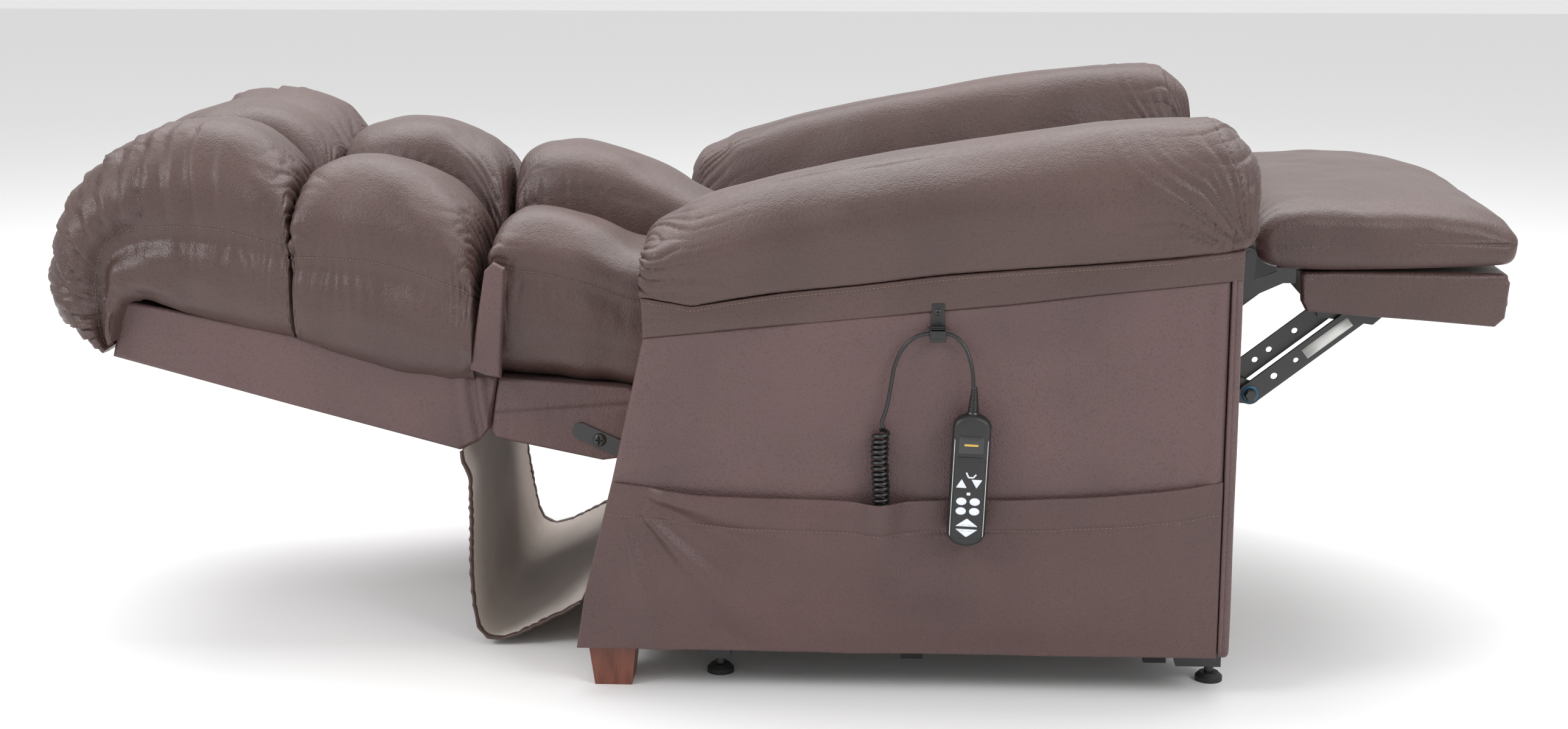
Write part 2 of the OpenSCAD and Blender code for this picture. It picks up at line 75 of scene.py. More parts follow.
def noise2(x, y, seed):
    """Value noise in -1..1 on a 64 by 64 lattice that repeats."""
    T = np.random.RandomState(seed).rand(64, 64) * 2 - 1
    x, y = np.broadcast_arrays(np.asarray(x, float), np.asarray(y, float))
    xi, yi = np.floor(x).astype(int), np.floor(y).astype(int)
    fx, fy = fade(x - xi), fade(y - yi)
    x0, y0, x1, y1 = xi % 64, yi % 64, (xi + 1) % 64, (yi + 1) % 64
    a = T[x0, y0] * (1 - fx) + T[x1, y0] * fx
    b = T[x0, y1] * (1 - fx) + T[x1, y1] * fx
    return a * (1 - fy) + b * fy


def fold(t):
    """Round ridges with sharp valleys between them, 0..1, one per unit of t."""
    return np.sqrt(np.abs(np.sin(np.pi * t)) + 1e-6)


def pleat(t):
    """Overlapping folds: each rises slowly and drops at once, 0..1."""
    f = t - np.floor(t)
    return f**0.55 * (1 - smooth(0.80, 1.0, f))


def curve(pts, n=None, ts=None, closed=False):
    """Catmull-Rom through points of any dimension, spaced by length."""
    p = np.asarray(pts, float)
    if closed:
        p = np.vstack([p[-1:], p, p[:2]])
    else:
        p = np.vstack([2 * p[0] - p[1], p, 2 * p[-1] - p[-2]])
    out = []
    for i in range(1, len(p) - 2):
        t = np.linspace(0, 1, 16, endpoint=False)[:, None]
        a, b, c, d = p[i - 1], p[i], p[i + 1], p[i + 2]
        out.append(0.5 * (2 * b + (c - a) * t + (2 * a - 5 * b + 4 * c - d) * t**2 + (3 * b - a - 3 * c + d) * t**3))
    q = np.vstack(out + [p[-2:-1] if not closed else p[1:2]])
    s = np.r_[0, np.cumsum(np.linalg.norm(np.diff(q, axis=0), axis=1))]
    if ts is None:
        ts = np.linspace(0, 1, n, endpoint=not closed)
    return np.stack([np.interp(ts * s[-1], s, q[:, k]) for k in range(q.shape[1])], 1)


def polyline(pts, n, closed=False):
    """The same for straight sides: points spaced evenly along the given polygon."""
    p = np.asarray(pts, float)
    if closed:
        p = np.vstack([p, p[:1]])
    s = np.r_[0, np.cumsum(np.linalg.norm(np.diff(p, axis=0), axis=1))]
    ts = np.linspace(0, s[-1], n, endpoint=not closed)
    return np.stack([np.interp(ts, s, p[:, k]) for k in range(p.shape[1])], 1)


def relax(p, times, closed=True):
    for _ in range(times):
        a, b = np.roll(p, 1, 0), np.roll(p, -1, 0)
        q = (a + 2 * p + b) / 4
        if not closed:
            q[0], q[-1] = p[0], p[-1]
        p = q
    return p


def put(name, verts, faces, mats, smooth_faces=True, mat_index=None):
    me = bpy.data.meshes.new(name)
    me.from_pydata([tuple(map(float, v)) for v in verts], [], [tuple(map(int, f)) for f in faces])
    me.update()
    for m in mats if isinstance(mats, (list, tuple)) else [mats]:
        me.materials.append(m)
    me.polygons.foreach_set("use_smooth", [bool(smooth_faces)] * len(me.polygons))
    if mat_index is not None:
        me.polygons.foreach_set("material_index", mat_index)
    o = bpy.data.objects.new(name, me)
    SC.collection.objects.link(o)
    return o


def outward(o):
    bm = bmesh.new()
    bm.from_mesh(o.data)
    bmesh.ops.recalc_face_normals(bm, faces=bm.faces)
    bm.to_mesh(o.data)
    bm.free()
    return o


def grid_faces(nu, nv, wrap_u=False, wrap_v=False, start=0):
    a = np.arange(nu * nv).reshape(nu, nv) + start
    if wrap_u:
        a = np.vstack([a, a[:1]])
    if wrap_v:
        a = np.hstack([a, a[:, :1]])
    return np.stack([a[:-1, :-1], a[1:, :-1], a[1:, 1:], a[:-1, 1:]], -1).reshape(-1, 4).tolist()


def loft(name, P, mat, close_ends=True):
    """Sections P[u] are closed loops; ends are closed with fans onto their middles."""
    nu, nv = P.shape[:2]
    faces = grid_faces(nu, nv, wrap_v=True)
    verts = P.reshape(-1, 3)
    if close_ends:
        extra = [P[0].mean(0), P[-1].mean(0)]
        verts = np.vstack([verts, extra])
        c0, c1 = nu * nv, nu * nv + 1
        for j in range(nv):
            k = (j + 1) % nv
            faces.append((c0, j, k))
            faces.append((c1, (nu - 1) * nv + k, (nu - 1) * nv + j))
    return outward(put(name, verts, faces, mat))


def normals_2d(p):
    d = np.roll(p, -1, 0) - np.roll(p, 1, 0)
    d /= np.linalg.norm(d, axis=1)[:, None] + 1e-12
    n = np.stack([d[:, 1], -d[:, 0]], 1)
    area = 0.5 * np.sum(p[:, 0] * np.roll(p[:, 1], -1) - np.roll(p[:, 0], -1) * p[:, 1])
    return n if area > 0 else -n


def pillow(name, outline, y0, y1, r, mat, ny=60, n=160, round_corners=3, shape=None, power=2.0, straight=True):
    """A closed solid: an outline in the XZ plane carried along Y, with its two rims rounded to radius r."""
    p = polyline(outline, n, True) if straight else curve(outline, n, closed=True)
    p = relax(p, round_corners)
    nrm = normals_2d(p)
    t = np.linspace(-1, 1, ny)
    e = np.sign(t) * (1 - (1 - np.abs(t)) ** 1.6)
    y = (y0 + y1) / 2 + (y1 - y0) / 2 * e
    edge = np.minimum(y - y0, y1 - y)
    k = np.clip(1 - edge / r, 0, 1)
    inset = r * (1 - np.sqrt(np.clip(1 - k**power, 0, 1)))
    P = np.zeros((ny, n, 3))
    for i in range(ny):
        q = p - nrm * min(inset[i], r * 0.98)
        P[i, :, 0], P[i, :, 1], P[i, :, 2] = q[:, 0], y[i], q[:, 1]
    if shape is not None:
        P = shape(P, p, nrm, y)
    return loft(name, P, mat)


def subdivide(o, levels=1):
    if len(o.data.vertices) > 12000:
        return o  # dense enough as built
    m = o.modifiers.new("subd", "SUBSURF")
    m.levels = m.render_levels = levels
    return o


def mirror_y(o, name):
    """A separate mesh on the other side of the chair."""
    me = o.data.copy()
    me.name = name
    co = np.empty(len(me.vertices) * 3)
    me.vertices.foreach_get("co", co)
    co = co.reshape(-1, 3)
    co[:, 1] *= -1
    me.vertices.foreach_set("co", co.ravel())
    me.flip_normals()
    me.update()
    q = bpy.data.objects.new(name, me)
    SC.collection.objects.link(q)
    for m in o.modifiers:
        if m.type == "SUBSURF":
            subdivide(q, m.levels)
    return q


# ------------------------------------------------------------------ materials
def nodes_of(mat):
    mat.use_nodes = True
    nt = mat.node_tree
    b = next(n for n in nt.nodes if n.type == "BSDF_PRINCIPLED")
    return nt, nt.nodes, nt.links, b


def objcoord(nt):
    return nt.nodes.new("ShaderNodeTexCoord").outputs["Object"]


def noise_node(nt, vec, scale, detail=3, rough=0.5):
    n = nt.nodes.new("ShaderNodeTexNoise")
    n.inputs["Scale"].default_value = scale
    n.inputs["Detail"].default_value = detail
    n.inputs["Roughness"].default_value = rough
    nt.links.new(vec, n.inputs["Vector"])
    return n.outputs["Fac"]


def ramp(nt, fac, stops):
    r = nt.nodes.new("ShaderNodeValToRGB")
    while len(r.color_ramp.elements) < len(stops):
        r.color_ramp.elements.new(0.5)
    for e, (pos, col) in zip(r.color_ramp.elements, stops):
        e.position = pos
        e.color = col if len(col) == 4 else (*col, 1)
    nt.links.new(fac, r.inputs["Fac"])
    return r.outputs["Color"]


def maprange(nt, fac, a, b, lo=0.0, hi=1.0):
    m = nt.nodes.new("ShaderNodeMapRange")
    m.inputs["From Min"].default_value = lo
    m.inputs["From Max"].default_value = hi
    m.inputs["To Min"].default_value = a
    m.inputs["To Max"].default_value = b
    nt.links.new(fac, m.inputs["Value"])
    return m.outputs["Result"]


def math_node(nt, op, a, b):
    m = nt.nodes.new("ShaderNodeMath")
    m.operation = op
    for s, v in zip(m.inputs, (a, b)):
        if hasattr(v, "default_value"):
            nt.links.new(v, s)
        else:
            s.default_value = v
    return m.outputs[0]


def leather(name, base, grain=1.0, rough=0.43, wear=1.0):
    mat = bpy.data.materials.new(name)
    nt, nd, ln, b = nodes_of(mat)
    v = objcoord(nt)
    # broad mottling, then the darker pits between pebbles
    big = noise_node(nt, v, 7, 2, 0.5)
    fine = noise_node(nt, v, 170, 1, 0.5)
    vor = nd.new("ShaderNodeTexVoronoi")
    vor.feature = "F1"
    vor.inputs["Scale"].default_value = 470
    ln.new(v, vor.inputs["Vector"])
    c = np.array(base)
    col = ramp(nt, big, [(0.3, tuple(c * 0.86)), (0.5, tuple(c)), (0.72, tuple(c * np.array([1.13, 1.12, 1.12])))])
    mix = nd.new("ShaderNodeMix")
    mix.data_type = "RGBA"
    mix.blend_type = "MULTIPLY"
    mix.inputs["Factor"].default_value = 0.5
    ln.new(col, mix.inputs["A"])
    pit = ramp(nt, vor.outputs["Distance"], [(0.0, (1.10, 1.10, 1.10)), (0.5, (1, 1, 1)), (0.9, (0.55, 0.53, 0.53))])
    ln.new(pit, mix.inputs["B"])
    ln.new(mix.outputs["Result"], b.inputs["Base Color"])
    r = maprange(nt, big, rough - 0.05 * wear, rough + 0.07 * wear, 0.3, 0.7)
    r2 = math_node(nt, "ADD", r, maprange(nt, fine, -0.03, 0.03, 0.3, 0.7))
    ln.new(r2, b.inputs["Roughness"])
    b.inputs["Specular IOR Level"].default_value = 0.5
    b.inputs["Sheen Weight"].default_value = 0.04
    b.inputs["Sheen Roughness"].default_value = 0.5
    b.inputs["Sheen Tint"].default_value = (0.9, 0.75, 0.72, 1)
    h = math_node(nt, "ADD", math_node(nt, "MULTIPLY", vor.outputs["Distance"], -0.6), math_node(nt, "MULTIPLY", fine, 0.5))
    bump = nd.new("ShaderNodeBump")
    bump.inputs["Strength"].default_value = 0.55 * grain
    bump.inputs["Distance"].default_value = 0.0010
    ln.new(h, bump.inputs["Height"])
    # shallow wrinkles under the grain
    crease = noise_node(nt, v, 42, 2, 0.6)
    bump2 = nd.new("ShaderNodeBump")
    bump2.inputs["Strength"].default_value = 0.25
    bump2.inputs["Distance"].default_value = 0.003
    ln.new(crease, bump2.inputs["Height"])
    ln.new(bump.outputs["Normal"], bump2.inputs["Normal"])
    ln.new(bump2.outputs["Normal"], b.inputs["Normal"])
    return mat


def plain(name, base, rough, metallic=0.0, bump=0.0, scale=400, var=0.12, spec=0.5, coat=0.0, stretch=None):
    mat = bpy.data.materials.new(name)
    nt, nd, ln, b = nodes_of(mat)
    v = objcoord(nt)
    if stretch:
        mp = nd.new("ShaderNodeMapping")
        mp.inputs["Scale"].default_value = stretch
        ln.new(v, mp.inputs["Vector"])
        v = mp.outputs["Vector"]
    f = noise_node(nt, v, scale, 4, 0.6)
    g = noise_node(nt, v, scale / 18, 3, 0.5)
    c = np.array(base)
    ln.new(ramp(nt, g, [(0.3, tuple(c * (1 - var))), (0.7, tuple(c * (1 + var)))]), b.inputs["Base Color"])
    ln.new(maprange(nt, math_node(nt, "MULTIPLY", math_node(nt, "ADD", f, g), 0.5), rough - 0.07, rough + 0.07, 0.3, 0.7), b.inputs["Roughness"])
    b.inputs["Metallic"].default_value = metallic
    b.inputs["Specular IOR Level"].default_value = spec
    if coat:
        b.inputs["Coat Weight"].default_value = coat
        b.inputs["Coat Roughness"].default_value = 0.15
    if bump:
        bp = nd.new("ShaderNodeBump")
        bp.inputs["Strength"].default_value = bump
        bp.inputs["Distance"].default_value = 0.0006
        ln.new(f, bp.inputs["Height"])
        ln.new(bp.outputs["Normal"], b.inputs["Normal"])
    return mat


def weave(name, base, rough=0.85, scale=900.0, depth=0.5):
    mat = bpy.data.materials.new(name)
    nt, nd, ln, b = nodes_of(mat)
    v = objcoord(nt)
    sep = nd.new("ShaderNodeSeparateXYZ")
    ln.new(v, sep.inputs[0])
    # threads run along Y and up the cloth
    su = math_node(nt, "SINE", math_node(nt, "MULTIPLY", sep.outputs["Y"], scale * 2), 0)
    sv = math_node(nt, "SINE", math_node(nt, "MULTIPLY", math_node(nt, "ADD", sep.outputs["Z"], sep.outputs["X"]), scale * 2), 0)
    w = math_node(nt, "MULTIPLY", su, sv)
    big = noise_node(nt, v, 9, 4, 0.6)
    c = np.array(base)
    col = ramp(nt, big, [(0.3, tuple(c * 0.88)), (0.7, tuple(c * 1.08))])
    mix = nd.new("ShaderNodeMix")
    mix.data_type = "RGBA"
    mix.blend_type = "MULTIPLY"
    mix.inputs["Factor"].default_value = 0.6
    ln.new(col, mix.inputs["A"])
    ln.new(ramp(nt, maprange(nt, w, 0, 1, -1, 1), [(0.0, (0.78, 0.77, 0.75)), (1.0, (1.05, 1.05, 1.05))]), mix.inputs["B"])
    ln.new(mix.outputs["Result"], b.inputs["Base Color"])
    ln.new(maprange(nt, big, rough - 0.05, rough + 0.05, 0.3, 0.7), b.inputs["Roughness"])
    b.inputs["Sheen Weight"].default_value = 0.25
    bp = nd.new("ShaderNodeBump")
    bp.inputs["Strength"].default_value = depth
    bp.inputs["Distance"].default_value = 0.0005
    ln.new(w, bp.inputs["Height"])
    ln.new(bp.outputs["Normal"], b.inputs["Normal"])
    return mat


def wood(name, dark, light, rough=0.4, axis_scale=(60, 60, 4)):
    mat = bpy.data.materials.new(name)
    nt, nd, ln, b = nodes_of(mat)
    mp = nd.new("ShaderNodeMapping")
    mp.inputs["Scale"].default_value = axis_scale
    ln.new(objcoord(nt), mp.inputs["Vector"])
    f = noise_node(nt, mp.outputs["Vector"], 1.0, 6, 0.65)
    g = noise_node(nt, mp.outputs["Vector"], 9.0, 3, 0.5)
    k = math_node(nt, "ADD", math_node(nt, "MULTIPLY", f, 0.75), math_node(nt, "MULTIPLY", g, 0.25))
    ln.new(ramp(nt, k, [(0.35, dark), (0.5, tuple((np.array(dark) + np.array(light)) / 2)), (0.68, light)]), b.inputs["Base Color"])
    ln.new(maprange(nt, g, rough - 0.08, rough + 0.08, 0.3, 0.7), b.inputs["Roughness"])
    bp = nd.new("ShaderNodeBump")
    bp.inputs["Strength"].default_value = 0.25
    bp.inputs["Distance"].default_value = 0.0005
    ln.new(k, bp.inputs["Height"])
    ln.new(bp.outputs["Normal"], b.inputs["Normal"])
    return mat


BROWN = (0.072, 0.0405, 0.0355)
M_LEATHER = leather("leather_cushion", BROWN, 1.0, 0.42)
M_PANEL = leather("leather_panel", (0.098, 0.056, 0.055), 1.25, 0.5)
# stitch thread: partly its own brown, partly a painted highlight that makes it much lighter than the leather
M_THREAD_AND_HIGHLIGHT = plain("thread_brown_painted_highlight", (0.19, 0.13, 0.11), 0.7, bump=0.4, scale=2500)
M_STEEL = plain("steel_satin_black", (0.012, 0.012, 0.013), 0.38, metallic=0.0, bump=0.15, scale=900, spec=0.6, coat=0.2)
M_RODS = plain("rod_steel_bright", (0.55, 0.55, 0.56), 0.25, metallic=1.0, bump=0.1, scale=500, stretch=(1, 40, 40))
M_ZINC = plain("zinc_screw", (0.42, 0.42, 0.44), 0.3, metallic=1.0, bump=0.2, scale=900)
M_BLUE = plain("washer_blue", (0.015, 0.09, 0.16), 0.35, metallic=0.3, bump=0.1, scale=900)
M_RUBBER = plain("rubber_black", (0.012, 0.012, 0.012), 0.62, bump=0.35, scale=1800)
M_PLASTIC = plain("plastic_black", (0.014, 0.014, 0.015), 0.36, bump=0.25, scale=2600, spec=0.5)
M_GLOSS = plain("plastic_gloss", (0.008, 0.008, 0.009), 0.14, bump=0.05, scale=900, coat=0.5)
M_CORD = plain("cord_jacket", (0.010, 0.010, 0.011), 0.3, bump=0.15, scale=1500, spec=0.6)
M_KEY = plain("key_white", (0.70, 0.73, 0.78), 0.42, bump=0.12, scale=2200, var=0.03)
M_SILVER = plain("trim_silver", (0.5, 0.5, 0.52), 0.3, metallic=0.9, bump=0.05, scale=900)
M_LABEL = plain("label_blank", (0.62, 0.62, 0.60), 0.5, bump=0.05, scale=900, var=0.05)
M_MARK = plain("mark_amber", (0.55, 0.36, 0.06), 0.45, bump=0.05, scale=900)
M_LINING = weave("lining_cream", (0.66, 0.585, 0.54), 0.88, 1100)
M_DUST = weave("drape_back", (0.075, 0.043, 0.038), 0.7, 900, 0.3)
M_BOARD = wood("board_raw", (0.30, 0.19, 0.10), (0.52, 0.37, 0.22), 0.6, (40, 40, 5))
M_LEG = wood("leg_stained", (0.10, 0.028, 0.016), (0.20, 0.065, 0.038), 0.36, (70, 70, 6))
M_VELCRO = plain("strip_black", (0.010, 0.010, 0.010), 0.95, bump=0.9, scale=1400)
M_FLOOR = plain("floor_pale", (0.86, 0.86, 0.86), 0.6, bump=0.0, scale=3, var=0.01)

for n, o in NODES.items():
    slot = next(s["material_slot"] for s in frame["record"]["subparts"] if s["node"] == n)
    m = {"steel_black": M_STEEL, "rod_steel": M_RODS, "cover_leather": M_PANEL, "foam": M_LEATHER, "wood_board": M_BOARD, "wood_stained": M_LEG,
         "rubber_black": M_RUBBER, "plastic_black": M_PLASTIC, "key_white": M_KEY, "drape_fabric": M_LINING, "bolt_blue": M_STEEL, "screw_steel": M_ZINC}[slot]
    o.data.materials.clear()
    o.data.materials.append(m)

PIECES = []


def ride(o, body, repl=()):
    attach(o, body)
    if repl:
        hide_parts(*repl)
    return o


def stitches(name, pts, nrm, body, pitch=0.0052, size=0.0033, rad=0.00048, sink=0.0):
    """A row of stitches along a chain of points; each stitch is a short rounded bead of thread."""
    p = np.asarray(pts, float)
    nrm = np.broadcast_to(np.asarray(nrm, float), p.shape)
    s = np.r_[0, np.cumsum(np.linalg.norm(np.diff(p, axis=0), axis=1))]
    m = int(s[-1] / pitch)
    if m < 2:
        return None
    verts, faces = [], []
    ring = 6
    prof = [(-0.5, 0.15), (-0.4, 0.8), (0.0, 1.0), (0.4, 0.8), (0.5, 0.15)]
    for i in range(m):
        c = (i + 0.5) * pitch
        at = lambda d: np.array([np.interp(d, s, p[:, k]) for k in range(3)])
        n = np.array([np.interp(c, s, nrm[:, k]) for k in range(3)])
        n /= np.linalg.norm(n)
        a, b = at(c - size / 2), at(c + size / 2)
        t = (b - a) / (np.linalg.norm(b - a) + 1e-12)
        u = np.cross(t, n)
        u /= np.linalg.norm(u) + 1e-12
        w = np.cross(u, t)
        mid = (a + b) / 2 + n * (rad * 0.4 - sink)
        base = len(verts)
        for q, k in prof:
            for j in range(ring):
                th = 2 * math.pi * j / ring
                verts.append(mid + t * q * size + (u * math.cos(th) + w * math.sin(th)) * rad * k)
        for r_ in range(len(prof) - 1):
            for j in range(ring):
                k2 = (j + 1) % ring
                faces.append((base + r_ * ring + j, base + r_ * ring + k2, base + (r_ + 1) * ring + k2, base + (r_ + 1) * ring + j))
        faces.append(tuple(base + j for j in range(ring - 1, -1, -1)))
        faces.append(tuple(base + (len(prof) - 1) * ring + j for j in range(ring)))
    # the thread's light colour is partly a painted highlight on the stitches
    o = put(name, verts, faces, M_THREAD_AND_HIGHLIGHT)
    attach(o, body)
    return o


def piping(name, pts, r, mat, body, closed=False, ring=8):
    """A soft welt: a thin tube along a chain of points."""
    p = np.asarray(pts, float)
    t = np.gradient(p, axis=0) if not closed else (np.roll(p, -1, 0) - np.roll(p, 1, 0))
    t /= np.linalg.norm(t, axis=1)[:, None] + 1e-12
    up = np.tile([0.05, 1.0, 0.02], (len(p), 1))
    u = np.cross(t, up)
    u /= np.linalg.norm(u, axis=1)[:, None] + 1e-12
    w = np.cross(t, u)
    th = np.linspace(0, 2 * np.pi, ring, endpoint=False)
    P = p[:, None] + r * (np.cos(th)[None, :, None] * u[:, None] + np.sin(th)[None, :, None] * w[:, None])
    o = loft(name, P, mat)
    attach(o, body)
    return o

# ------------------------------------------------------------------ back cushions
RS = np.random.RandomState


def stations(rows, n, ends=(0.0, 0.0)):
    """rows: bx, bz, cx, cz, seam fraction, inner valley fraction. Dense where a cushion starts and stops."""
    t = np.linspace(0, 1, n)
    t = t + 0.11 * np.sin(2 * np.pi * t) * -0.5
    t = (t - t[0]) / (t[-1] - t[0])
    return curve(rows, ts=t), t


def back_pillow(name, rows, w_in, w_out, w_crest, n, m, seed, side, gather=(1, 1), fan=None, top=1.0, mid=False):
    """One pillow of the backrest. side is +1 or -1 for the outer columns and 0 for the middle one."""
    S, t = stations(rows, n)
    B, C = S[:, [0, 1]], S[:, [2, 3]]
    H = np.linalg.norm(C - B, axis=1)
    D = (C - B) / H[:, None]
    arc = np.r_[0, np.cumsum(np.linalg.norm(np.diff(C, axis=0), axis=1))]
    d0, d1 = arc, arc[-1] - arc
    # ends roll over into the crease
    R = 0.030
    roll = lambda d: 1 - np.sqrt(np.clip(1 - np.clip(1 - d / R, 0, 1) ** 2, 0, 1))
    drop = 0.040 * (roll(d0) * gather[0] + roll(d1) * gather[1])
    th = np.linspace(0, 1, m, endpoint=False)
    P = np.zeros((n, m, 3))
    for i in range(n):
        h = H[i] - drop[i]
        hs, hv = S[i, 4] * H[i], S[i, 5] * h
        if mid:
            k = th * 8
            q = np.zeros((m, 2))
            # floor, right side, top, left side
            a = (th < 0.12)
            b = (th >= 0.12) & (th < 0.26)
            c = (th >= 0.26) & (th < 0.86)
            d = th >= 0.86
            wi = w_in
            q[a, 0], q[a, 1] = -wi + 2 * wi * th[a] / 0.12, 0
            q[b, 0], q[b, 1] = wi, hv * (th[b] - 0.12) / 0.14
            ang = np.pi * (th[c] - 0.26) / 0.60
            q[c, 0] = wi * np.sign(np.cos(ang)) * np.abs(np.cos(ang)) ** 0.86
            q[c, 1] = hv + (h - hv) * np.sin(ang) ** 0.74
            q[d, 0], q[d, 1] = -wi, hv * (1 - (th[d] - 0.86) / 0.14)
            w = q[:, 0]
            Y = q[:, 0]
        else:
            q = np.zeros((m, 2))
            a = (th < 0.12)
            b = (th >= 0.12) & (th < 0.30)
            c = (th >= 0.30) & (th < 0.86)
            d = th >= 0.86
            wo = w_out
            q[a, 0], q[a, 1] = w_in + (wo - 0.030 - w_in) * th[a] / 0.12, 0.004
            k = (th[b] - 0.12) / 0.18
            q[b, 0] = wo + 0.003 * np.sin(np.pi * k) - 0.030 * (1 - np.sin(np.pi / 2 * np.clip(k * 2.0, 0, 1)) ** 0.75) - 0.005 * np.sin(np.pi * k) * 0 - 0.003 * smooth(0.7, 1, k)
            q[b, 1] = hs * k**1.15
            ang = np.pi * (th[c] - 0.30) / 0.56
            outer = ang < np.pi / 2
            wc = w_crest
            cs, sn = np.cos(ang), np.sin(ang)
            q[c, 0] = np.where(outer, wc + (wo - 0.003 - wc) * np.abs(cs) ** 0.80, wc - (wc - w_in) * np.abs(cs) ** 0.84)
            q[c, 1] = np.where(outer, hs + (h - hs) * sn ** 0.78, hv + (h - hv) * sn ** 0.72)
            # the cover swells just above the side seam
            sw = np.where(outer, np.exp(-((ang - 0.45) / 0.3) ** 2), 0)
            q[c, 0] += 0.006 * sw
            q[d, 0], q[d, 1] = w_in, hv * (1 - (th[d] - 0.86) / 0.14)
            Y = q[:, 0]
        P[i, :, 0] = B[i, 0] + D[i, 0] * q[:, 1]
        P[i, :, 2] = B[i, 1] + D[i, 1] * q[:, 1]
        P[i, :, 1] = Y
    # ---- surface normals by differences
    du = np.gradient(P, axis=0)
    dv = np.roll(P, -1, 1) - np.roll(P, 1, 1)
    N = np.cross(du, dv)
    N /= np.linalg.norm(N, axis=2)[:, :, None] + 1e-12
    mid_pt = P.mean(1, keepdims=True)
    if np.sum(N * (P - mid_pt)) < 0:
        N = -N
    U = arc[:, None] + 0 * th[None]
    V = P[:, :, 1]
    T = th[None] + 0 * arc[:, None]
    lo, hi = (0.30, 0.86) if not mid else (0.26, 0.86)
    on_top = smooth(lo - 0.03, lo + 0.05, T) * (1 - smooth(hi - 0.03, hi + 0.02, T))
    # arc length round each section, to space the gathers by millimetres
    sec = np.linalg.norm(np.roll(P, -1, 1) - P, axis=2)
    L = np.cumsum(sec, axis=1)
    rs = RS(seed)
    disp = np.zeros((n, m))
    # gathers: ridges across the pillow that die away from the creases at its ends
    for d, g, sd in ((d0, gather[0], 1), (d1, gather[1], 2)):
        if not g:
            continue
        dd = d[:, None]
        lanes = L * 42 + 1.1 * noise2(L * 24, dd * 18, seed + sd) + 0.5 * noise2(L * 60, dd * 30, seed + sd + 5)
        amp = 0.5 + 0.5 * noise2(np.floor(lanes) * 1.37, 0.5 + 0 * lanes, seed + sd + 9)
        reach = 0.026 + 0.038 * amp
        disp += g * 0.0082 * (0.35 + amp) * (fold(lanes) - 0.70) * np.exp(-(dd / reach) ** 1.5) * (0.35 + 0.65 * on_top)
        lanes2 = L * 95 + 1.4 * noise2(L * 50, dd * 25, seed + sd + 20)
        disp += g * 0.0024 * (fold(lanes2) - 0.6) * np.exp(-(dd / 0.022) ** 1.3) * on_top
    # pleats in the valley between the columns
    inner = smooth(hi - 0.16, hi - 0.02, T) if not mid else smooth(hi - 0.12, hi - 0.02, T) + (1 - smooth(lo + 0.02, lo + 0.12, T))
    lanes = U * 46 + 1.3 * noise2(U * 22, T * 9, seed + 31)
    disp += 0.0050 * (fold(lanes) - 0.66) * inner * (0.6 + 0.4 * noise2(U * 15, T * 3, seed + 32))
    # long soft waves of the stuffing
    disp += 0.0042 * noise2(U * 9, V * 11, seed + 40) * on_top + 0.0016 * noise2(U * 26, V * 24, seed + 41)
    disp += 0.0022 * noise2(U * 14 + V * 9, V * 5 - U * 5, seed + 42) * (T > 0.12)
    # pull in at the seam, with small puckers on both sides of it
    if not mid:
        near = np.exp(-((T - 0.30) / 0.018) ** 2)
        disp -= 0.0042 * near
        pk = np.exp(-((T - 0.315) / 0.05) ** 2) + 0.7 * np.exp(-((T - 0.27) / 0.05) ** 2)
        disp += 0.0022 * (fold(U * 60 + 1.6 * noise2(U * 30, T * 5, seed + 50)) - 0.6) * pk * (0.5 + 0.5 * noise2(U * 12, 0.3, seed + 51))
        # side gusset: a long shallow drape toward the ends
        gus = smooth(0.13, 0.18, T) * (1 - smooth(0.27, 0.30, T))
        disp += gus * 0.003 * noise2(U * 16, T * 26, seed + 52)
    if fan is not None:
        disp += fan(U, V, T, d0[:, None], d1[:, None], L, arc[-1])
    P += N * disp[:, :, None]
    P[:, :, 1] = np.clip(P[:, :, 1], -0.2935, 0.2935)
    if side:
        P[:, :, 1] *= side
    o = loft(name, P, M_LEATHER)
    seam = None
    if not mid:
        j = int(round(0.30 * m))
        seam = P[:, j + 1, :].copy()
    return o, seam, P


HEAD = [
    (-0.606, 0.404, -0.604, 0.588, 0.56, 0.62), (-0.612, 0.405, -0.611, 0.622, 0.51, 0.66), (-0.638, 0.409, -0.641, 0.655, 0.455, 0.72),
    (-0.678, 0.418, -0.684, 0.674, 0.44, 0.76), (-0.716, 0.428, -0.725, 0.679, 0.43, 0.78), (-0.752, 0.439, -0.790, 0.668, 0.43, 0.80),
    (-0.780, 0.448, -0.846, 0.637, 0.45, 0.82), (-0.796, 0.452, -0.892, 0.595, 0.44, 0.84), (-0.806, 0.452, -0.918, 0.548, 0.38, 0.85),
    (-0.814, 0.450, -0.931, 0.500, 0.31, 0.86), (-0.820, 0.446, -0.936, 0.459, 0.24, 0.87), (-0.826, 0.437, -0.915, 0.430, 0.26, 0.88),
    (-0.830, 0.425, -0.888, 0.405, 0.35, 0.88), (-0.834, 0.408, -0.856, 0.383, 0.5, 0.9),
]
HEAD_M = [(a, b, c, d, e, f) for a, b, c, d, e, f in HEAD]
for i_, (cx, cz) in enumerate([(-0.590, 0.590), (-0.600, 0.622), (-0.630, 0.658), (-0.672, 0.681), (-0.728, 0.685), (-0.796, 0.668), (-0.850, 0.640)]):
    HEAD_M[i_] = (HEAD[i_][0], HEAD[i_][1], cx, cz, 0.4, HEAD[i_][5])
